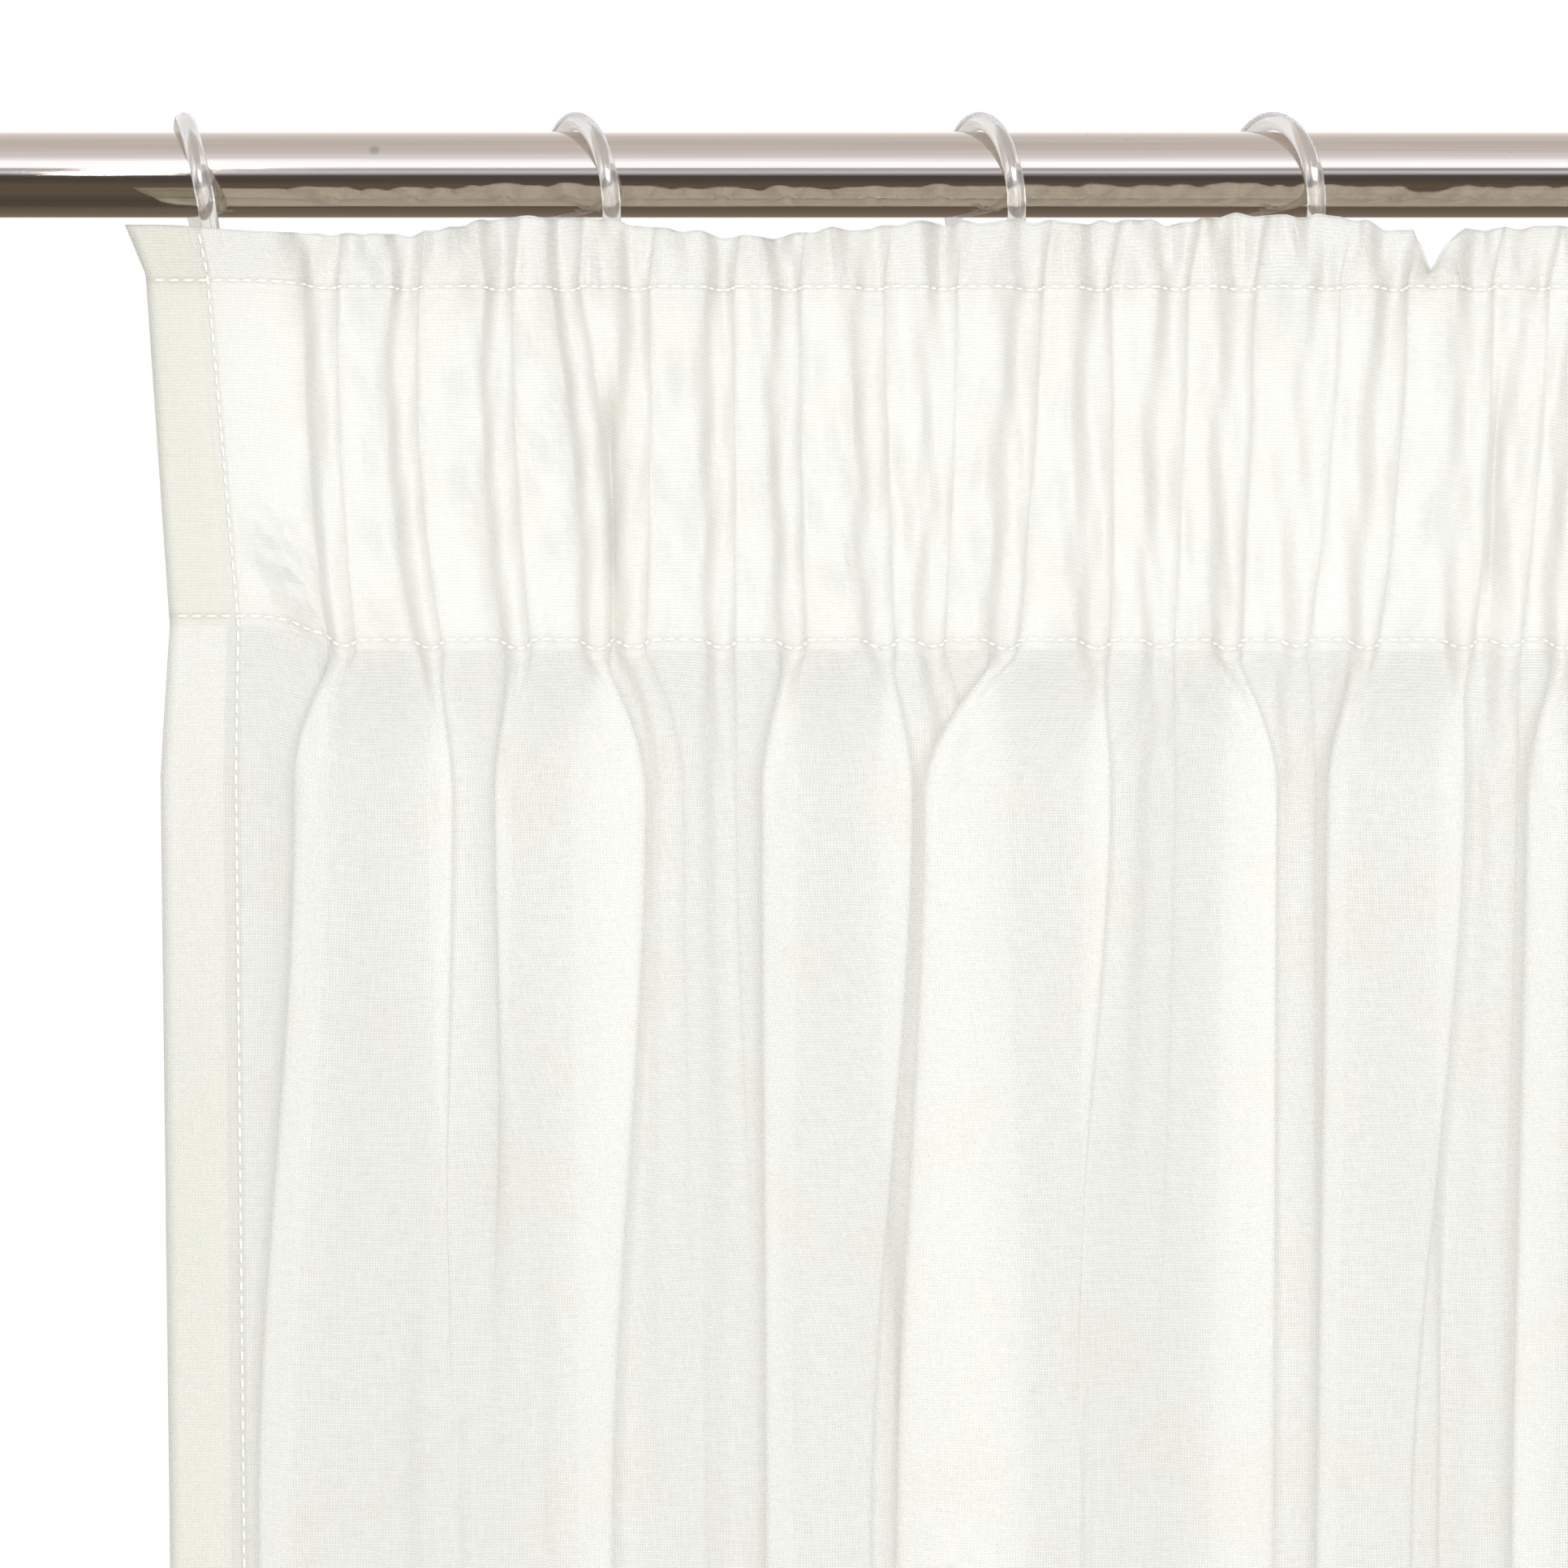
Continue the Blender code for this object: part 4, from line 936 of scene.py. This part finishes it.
def voile_panel():
    """The panel as one grid: the front, with the side hems, the top and the bottom hem turned behind it.

    The turned parts are rows and columns of the front taken again in reverse and moved back along the
    normal. across and down are places on the flat cloth, negative past a folded edge.
    """
    levels = row_heights()
    front = sheet_surface(levels, sections())
    normals = surface_normals(front)
    across = lengths_along(front, 1)
    across *= FLAT_WIDTH / across[:, -1:]
    down = TOP_Z - levels

    count = front.shape[1]
    hem_columns = np.flatnonzero(across.mean(axis=0) <= SIDE_HEM)
    left, right = hem_columns[::-1], count - 1 - hem_columns
    columns = np.concatenate([left, np.arange(count), right])
    columns_back = np.concatenate([np.ones(len(left)), np.zeros(count), np.ones(len(right))])
    turned = np.flatnonzero(down <= TOP_TURN)[::-1]
    bottom = np.flatnonzero(levels <= HEM_Z + BOTTOM_HEM + 1.0)[::-1]
    rows = np.concatenate([turned, np.arange(len(levels)), bottom])
    rows_back = np.concatenate([np.ones(len(turned)), np.zeros(len(levels)), np.ones(len(bottom))])

    pick = np.ix_(rows, columns)
    back = LAYER_GAP * (TURN_LAYERS * rows_back[:, None] + columns_back[None, :])
    points = front[pick] - normals[pick] * back[:, :, None]
    u = across[pick]
    u[:, :len(left)] *= -1.0
    u[:, -len(right):] = 2.0 * FLAT_WIDTH - u[:, -len(right):]
    v = down[rows].copy()
    v[:len(turned)] *= -1.0
    v[-len(bottom):] = 2.0 * down[-1] - v[-len(bottom):]
    weave = np.stack([u, np.broadcast_to(-v[:, None], u.shape)], axis=-1) * MM
    low, high = weave.min(axis=(0, 1)), weave.max(axis=(0, 1))
    side = u[:, [len(left) + side_stitch_column(front)]]
    lines = np.array([TOP_Z - z for z in ACROSS_STITCHES])
    from_line = v - lines[np.abs(v[:, None] - lines).argmin(axis=1)]
    sewn = np.stack([np.where(u < 0.5 * FLAT_WIDTH, u - side, FLAT_WIDTH - side - u),
                     np.broadcast_to(from_line[:, None], u.shape)], axis=-1) * MM
    return points, {"weave": weave, "sewn": sewn, "OFBake": (weave - low) / (high - low)}


def side_stitch_column(front):
    """The column of the sheet that runs down the side hem's stitches."""
    return int(np.argmin(np.abs(lengths_along(front, 1).mean(axis=0) - SIDE_STITCH_IN)))


def heading_tape():
    """The tape, one layer behind the front, nested in the same pleats."""
    behind = 0.5 * CLOTH + GAP + 0.5 * TAPE
    levels = row_heights()
    levels = levels[(levels <= STITCH_Z) & (levels >= TAPE_FOOT_Z)]
    points = sheet_surface(levels, sections(shrink=behind, lower=TAPE), behind=behind)[:, 2:-2]
    across = lengths_along(points, 1)
    across *= FLAT_WIDTH / across[:, -1:]
    weave = np.stack([across, np.broadcast_to(levels[:, None], across.shape)], axis=-1) * MM
    low, high = weave.min(axis=(0, 1)), weave.max(axis=(0, 1))
    return points, {"weave": weave, "OFBake": (weave - low) / (high - low)}


def stitches(path, normals, side=1.0):
    """A row of stitches along a path on the cloth. Each is four rings of four points, thin at its ends,
    where it goes down into the cloth, and lifted in the middle. side -1 sews the back."""
    along = lengths_along(path, 0)
    starts = np.arange(0.5 * STITCH_PITCH, along[-1] - STITCH_PITCH, STITCH_PITCH)
    thick = STITCH_THREAD * np.array(STITCH_PROFILE["thick"])
    lift = STITCH_THREAD * np.array(STITCH_PROFILE["lift"])
    at = (starts[:, None] + STITCH_LENGTH * np.array(STITCH_PROFILE["along"])).ravel()
    here = np.stack([np.interp(at, along, path[:, i]) for i in range(3)], axis=-1)
    up = side * np.stack([np.interp(at, along, normals[:, i]) for i in range(3)], axis=-1)
    up /= np.linalg.norm(up, axis=1, keepdims=True)
    ahead = np.stack([np.interp(at + 0.1, along, path[:, i]) for i in range(3)], axis=-1) - here
    beside = np.cross(ahead, up)
    beside /= np.maximum(np.linalg.norm(beside, axis=1, keepdims=True), 1e-9)
    roll = np.linspace(0.0, math.tau, 4, endpoint=False)[None, :, None]
    radius = np.tile(thick, len(starts))[:, None, None]
    middle = here + up * np.tile(lift, len(starts))[:, None]
    points = middle[:, None] + radius * (np.cos(roll) * up[:, None] + np.sin(roll) * beside[:, None])
    one = grid_faces(4, 4, closed=True)
    one = np.concatenate([one, [[0, 1, 2, 3], [15, 14, 13, 12]]])
    faces = (one[None] + 16 * np.arange(len(starts))[:, None, None]).reshape(-1, 4)
    return points.reshape(-1, 3), faces


def line_at(grid, levels, height):
    """The row of a grid at the given height, between its two nearest rows."""
    row = np.interp(-height, -levels, np.arange(len(levels)))
    low = int(min(row, len(levels) - 2))
    return grid[low] + (row - low) * (grid[low + 1] - grid[low])


def sewing():
    """Every row of stitches: across the top and foot of the tape, down both side hems and along the
    bottom hem, and the tape's two rows again on its back."""
    levels = row_heights()
    front = sheet_surface(levels, sections())
    normals = surface_normals(front)
    rows = [stitches(line_at(front, levels, z), line_at(normals, levels, z))
            for z in ACROSS_STITCHES]
    column = side_stitch_column(front)
    rows += [stitches(front[:, i], normals[:, i]) for i in (column, -1 - column)]
    tape, _ = heading_tape()
    tape_normals = surface_normals(tape)
    tape_levels = np.linspace(STITCH_Z, TAPE_FOOT_Z, len(tape))
    rows += [stitches(line_at(tape, tape_levels, z), line_at(tape_normals, tape_levels, z), side=-1.0)
             for z in ACROSS_STITCHES[:2]]
    return joined(rows)


def ring_matrix(ring):
    """Rotation of a ring: lean about Y, then turn about Z."""
    lean, turn = math.radians(-ring.lean), math.radians(ring.turn)
    about_y = np.array([[math.cos(lean), 0.0, math.sin(lean)], [0.0, 1.0, 0.0],
                        [-math.sin(lean), 0.0, math.cos(lean)]])
    about_z = np.array([[math.cos(turn), -math.sin(turn), 0.0], [math.sin(turn), math.cos(turn), 0.0],
                        [0.0, 0.0, 1.0]])
    return about_z @ about_y


def ring_middle(ring):
    """Middle of a ring that hangs with its inside a gap above the top of the rod."""
    height = ROD_RADIUS + GAP + RING_WIRE - RING_RADIUS * math.cos(math.radians(ring.lean))
    return np.array([ROD_OVERHANG + ring.x, 0.0, height])


def eye_middle(ring):
    """Middle of the eye under a ring."""
    return ring_middle(ring) + ring_matrix(ring) @ np.array([0.0, 0.0, -EYE_DROP])


def ring_shape(ring):
    """The ring with the eye that is moulded under it."""
    hoop, hoop_faces = torus(RING_RADIUS, RING_WIRE, *RING_FACETS)
    eye, eye_faces = torus(EYE_RADIUS, EYE_WIRE, *EYE_FACETS)
    quarter_turn = np.array([[0.0, 1.0, 0.0], [-1.0, 0.0, 0.0], [0.0, 0.0, 1.0]])
    eye = eye @ quarter_turn + np.array([0.0, 0.0, -EYE_DROP])
    points, faces = joined([(hoop, hoop_faces), (eye, eye_faces)])
    return points @ ring_matrix(ring).T + ring_middle(ring), faces


def hook_shape(ring):
    """A hook: a shank up the back of the tape, then over through the ring's eye, on one smooth curve."""
    eye = eye_middle(ring)
    shank_x = ROD_OVERHANG + ring.shank
    clear = HOOK_ROOM + HOOK_WIRE
    start = np.array([shank_x, tape_back(HOOK_TOP_Z) + clear, HOOK_TOP_Z])
    end = np.array([eye[0], eye[1], eye[2] - EYE_RADIUS + EYE_WIRE + HOOK_WIRE + GAP])
    span = np.linspace(0.0, 1.0, 6)[1:, None]
    bend = start + (end - start) * np.concatenate([span, span, np.sin(0.5 * math.pi * span)], axis=1)
    tail = end + np.array(HOOK_TAIL)
    foot = np.array([[shank_x, tape_back(HOOK_FOOT_Z) + clear, HOOK_FOOT_Z]])
    path = smooth_columns(np.concatenate([foot, start[None], bend, tail])[None], 4)[0]
    radii = np.full(len(path), HOOK_WIRE)
    radii[[0, -1]] *= HOOK_TIP
    return tube(path, radii, HOOK_SIDES, (1.0, 0.0, 0.0))


def tape_back(z):
    """The y of the tape's back between its top and its foot, as the model has it."""
    share = (z - STITCH_Z) / (TAPE_FOOT_Z - STITCH_Z)
    top, foot = (np.interp(end, HANG["z"], HANG["y"]) for end in (STITCH_Z, TAPE_FOOT_Z))
    return top + share * (foot - top) + 0.5 * CLOTH + GAP + TAPE + VALLEY_SAG


class CURTAIN_OT_voile(bpy.types.Operator):
    """Hang the voile panel on the folds of its solid"""

    bl_idname = "curtain.voile"
    bl_label = "Voile panel"

    def execute(self, context):
        points, maps = voile_panel()
        material = voile_material(context.scene.curtain_cloth)
        piece = make_piece("voile_cloth", points, grid_faces(*points.shape[:2]), material, maps)
        dress(piece, "voile", "voile_panel")
        return {"FINISHED"}


class CURTAIN_OT_tape(bpy.types.Operator):
    """Sew the heading tape behind the pleats"""

    bl_idname = "curtain.tape"
    bl_label = "Heading tape"

    def execute(self, context):
        points, maps = heading_tape()
        material = tape_material(context.scene.curtain_cloth)
        piece = make_piece("heading_tape_cloth", points, grid_faces(*points.shape[:2]), material, maps)
        dress(piece, "tape", "heading_tape")
        return {"FINISHED"}


class CURTAIN_OT_sewing(bpy.types.Operator):
    """Lay the rows of stitches"""

    bl_idname = "curtain.sewing"
    bl_label = "Sewing"

    def execute(self, context):
        points, faces = sewing()
        piece = make_piece("sewing_thread", points, faces, sewing_material(context.scene.curtain_cloth))
        dress(piece, "tape")
        return {"FINISHED"}


class CURTAIN_OT_rings(bpy.types.Operator):
    """Put the clear rings on the rod"""

    bl_idname = "curtain.rings"
    bl_label = "Rings"

    def execute(self, context):
        material = ring_material(context.scene.curtain_hardware)
        for number, ring in enumerate(RINGS, start=1):
            points, faces = ring_shape(ring)
            piece = make_piece(f"clear_ring_{number}", points, faces, material)
            dress(piece, "ring", f"ring_{number}")
        return {"FINISHED"}


class CURTAIN_OT_hooks(bpy.types.Operator):
    """Hook the tape to the rings"""

    bl_idname = "curtain.hooks"
    bl_label = "Hooks"

    def execute(self, context):
        material = hook_material(context.scene.curtain_hardware)
        for number, ring in enumerate(RINGS, start=1):
            points, faces = hook_shape(ring)
            piece = make_piece(f"white_hook_{number}", points, faces, material)
            dress(piece, "hook", f"hook_{number}")
        return {"FINISHED"}


class CURTAIN_OT_rod(bpy.types.Operator):
    """Turn the polished rod"""

    bl_idname = "curtain.rod"
    bl_label = "Rod"

    def execute(self, context):
        low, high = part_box("rod")
        start, end = low[0] / MM, high[0] / MM
        edge = np.linspace(0.0, 0.5 * math.pi, 6)
        inset = ROD_CHAMFER * (1.0 - np.sin(edge))
        radius = ROD_RADIUS - ROD_CHAMFER * (1.0 - np.cos(edge))
        straight = ROD_CHAMFER * 3.0
        x = np.concatenate([start + inset[::-1], [start + straight, end - straight], end - inset])
        reach = np.concatenate([radius[::-1], [ROD_RADIUS, ROD_RADIUS], radius])
        order = np.argsort(x, kind="stable")
        path = np.stack([x[order], np.zeros(len(x)), np.zeros(len(x))], axis=-1)
        points, faces = tube(path, reach[order], ROD_SIDES, (0.0, 0.0, 1.0))
        piece = make_piece("polished_rod", points, faces, rod_material(context.scene.curtain_hardware))
        piece.data.set_sharp_from_angle(angle=math.radians(40.0))
        dress(piece, "rod", "rod")
        return {"FINISHED"}


class CURTAIN_OT_stage(bpy.types.Operator):
    """Set the floor, the soft light and the camera"""

    bl_idname = "curtain.stage"
    bl_label = "Stage"

    def execute(self, context):
        stage = context.scene.curtain_stage
        floor_material, tree = blank_material("matt studio floor")
        matt = add(tree, "ShaderNodeBsdfPrincipled", {
            "Base Color": linear(stage.floor_colour), "Roughness": 0.9})
        add(tree, "ShaderNodeOutputMaterial", {0: matt.outputs[0]})
        half = FLOOR_HALF / MM
        middle = 0.5 * (cad_box[0][0] + cad_box[1][0]) / MM
        corners = np.array([[middle - half, half, 0.0], [middle - half, -half, 0.0],
                            [middle + half, -half, 0.0], [middle + half, half, 0.0]])
        corners[:, 2] = FLOOR_Z / MM
        floor = make_piece("studio_floor", corners, np.array([[0, 1, 2, 3]]), floor_material, smooth=False)
        floor.visible_glossy = False
        light_world(context.scene)
        key = soft_light(*KEY_LIGHT, stage.key_power)
        fill = soft_light(*FILL_LIGHT, stage.fill_power)
        key.visible_glossy = fill.visible_glossy = False
        soft_light(*GLINT_LIGHT, stage.glint_power)
        point_camera(context.scene)
        context.scene.view_settings.view_transform = "Standard"
        return {"FINISHED"}


def light_world(scene):
    """Light all round, as bands about the X axis. Matt surfaces get a soft, even light. Shiny ones see
    a bright band above the camera, a dark one at its height and below, and a pale one behind. The camera
    sees plain white, and GAP_COLOUR through the cloth's gaps."""
    world = bpy.data.worlds.new("studio")
    world.use_nodes = True
    tree = world.node_tree
    tree.nodes.clear()
    place = add(tree, "ShaderNodeTexCoord")
    split = add(tree, "ShaderNodeSeparateXYZ", {0: place.outputs["Generated"]})
    front = add(tree, "ShaderNodeMath", {0: split.outputs[1], 1: -1.0}, operation="MULTIPLY")
    angle = add(tree, "ShaderNodeMath", {0: split.outputs[2], 1: front.outputs[0]}, operation="ARCTAN2")
    share = add(tree, "ShaderNodeMapRange", {0: angle.outputs[0], 1: -math.pi, 2: math.pi})
    lights = []
    kinds = ((MATT_BANDS, MATT_STRENGTH, ("#FFFFFF",) * 3), (SHINY_BANDS, SHINY_STRENGTH, (WARM, COOL, PALE)))
    for bands, strength, tints in kinds:
        ramp = add(tree, "ShaderNodeValToRGB", {0: share.outputs[0]})
        while len(ramp.color_ramp.elements) < len(bands):
            ramp.color_ramp.elements.new(0.5)
        for stop, (degrees, value) in zip(ramp.color_ramp.elements, bands):
            stop.position = (degrees + 180.0) / 360.0
            tint = linear(tints[sum(degrees > start for start in TINT_STARTS)])
            stop.color = (value * tint[0], value * tint[1], value * tint[2], 1.0)
        lights.append(add(tree, "ShaderNodeBackground", {"Color": ramp.outputs[0], "Strength": strength}))
    ray = add(tree, "ShaderNodeLightPath")
    through = add(tree, "ShaderNodeMath", {0: ray.outputs["Transparent Depth"], 1: 0.5},
                  operation="GREATER_THAN")
    seen = add(tree, "ShaderNodeMix", {0: through.outputs[0], 6: (1.0, 1.0, 1.0, 1.0), 7: linear(GAP_COLOUR)},
               data_type="RGBA")
    white = add(tree, "ShaderNodeBackground", {"Color": seen.outputs[2]})
    clear = add(tree, "ShaderNodeBackground", {"Color": (0.95, 0.95, 0.95, 1.0)})
    shiny = add(tree, "ShaderNodeMixShader", {
        0: ray.outputs["Is Transmission Ray"], 1: lights[1].outputs[0], 2: clear.outputs[0]})
    around = add(tree, "ShaderNodeMixShader", {
        0: ray.outputs["Is Glossy Ray"], 1: lights[0].outputs[0], 2: shiny.outputs[0]})
    mixed = add(tree, "ShaderNodeMixShader", {
        0: ray.outputs["Is Camera Ray"], 1: around.outputs[0], 2: white.outputs[0]})
    add(tree, "ShaderNodeOutputWorld", {0: mixed.outputs[0]})
    scene.world = world


def soft_light(name, place, size, power):
    """A rectangular soft light aimed at the middle of the view."""
    light = bpy.data.lights.new(name, "AREA")
    light.shape = "RECTANGLE"
    light.size, light.size_y = size
    light.energy = power
    holder = bpy.data.objects.new(name, light)
    holder.location = place
    aim = (np.array(place) - np.array(AIM)) / np.linalg.norm(np.array(place) - np.array(AIM))
    holder.rotation_euler = (math.acos(aim[2]), 0.0, math.atan2(aim[1], aim[0]) + 0.5 * math.pi)
    holder.visible_camera = False
    bpy.context.collection.objects.link(holder)
    return holder


def point_camera(scene):
    """A long lens, level with no roll, that looks down on the heading by the photograph's angle."""
    camera = bpy.data.cameras.new("camera")
    camera.sensor_width = SENSOR
    camera.lens = SENSOR * VIEW_DISTANCE / VIEW_WIDTH
    camera.clip_end = 100.0
    holder = bpy.data.objects.new("camera", camera)
    holder.location = (AIM[0], AIM[1] - VIEW_DISTANCE * math.cos(VIEW_ELEVATION),
                       AIM[2] + VIEW_DISTANCE * math.sin(VIEW_ELEVATION))
    holder.rotation_euler = (0.5 * math.pi - VIEW_ELEVATION, 0.0, 0.0)
    bpy.context.collection.objects.link(holder)
    scene.camera = holder


class CURTAIN_PT_panel(bpy.types.Panel):
    """The curtain's pieces and settings"""

    bl_idname = "CURTAIN_PT_panel"
    bl_label = "Curtain"
    bl_space_type = "VIEW_3D"
    bl_region_type = "UI"
    bl_category = "Curtain"

    def draw(self, context):
        for owner in GROUPS:
            group = getattr(context.scene, owner)
            box = self.layout.box()
            for name in group.__annotations__:
                box.prop(group, name)
        for operator in OPERATORS:
            self.layout.operator(operator.bl_idname)


OPERATORS = (CURTAIN_OT_stage, CURTAIN_OT_rod, CURTAIN_OT_voile, CURTAIN_OT_tape, CURTAIN_OT_sewing,
             CURTAIN_OT_rings, CURTAIN_OT_hooks)
GROUPS = {"curtain_cloth": CurtainCloth, "curtain_hardware": CurtainHardware, "curtain_stage": CurtainStage}


def register():
    for name, group in GROUPS.items():
        bpy.utils.register_class(group)
        setattr(bpy.types.Scene, name, bpy.props.PointerProperty(type=group))
    for each in OPERATORS + (CURTAIN_PT_panel,):
        bpy.utils.register_class(each)


def unregister():
    for each in reversed(OPERATORS + (CURTAIN_PT_panel,)):
        bpy.utils.unregister_class(each)
    for name, group in GROUPS.items():
        delattr(bpy.types.Scene, name)
        bpy.utils.unregister_class(group)


def main():
    """Register the add-on and make every piece in order."""
    register()
    for operator in OPERATORS:
        section_name, call = operator.bl_idname.split(".")
        if getattr(getattr(bpy.ops, section_name), call)() != {"FINISHED"}:
            raise RuntimeError(f"{operator.bl_label} was not finished")


if __name__ == "__main__":
    main()
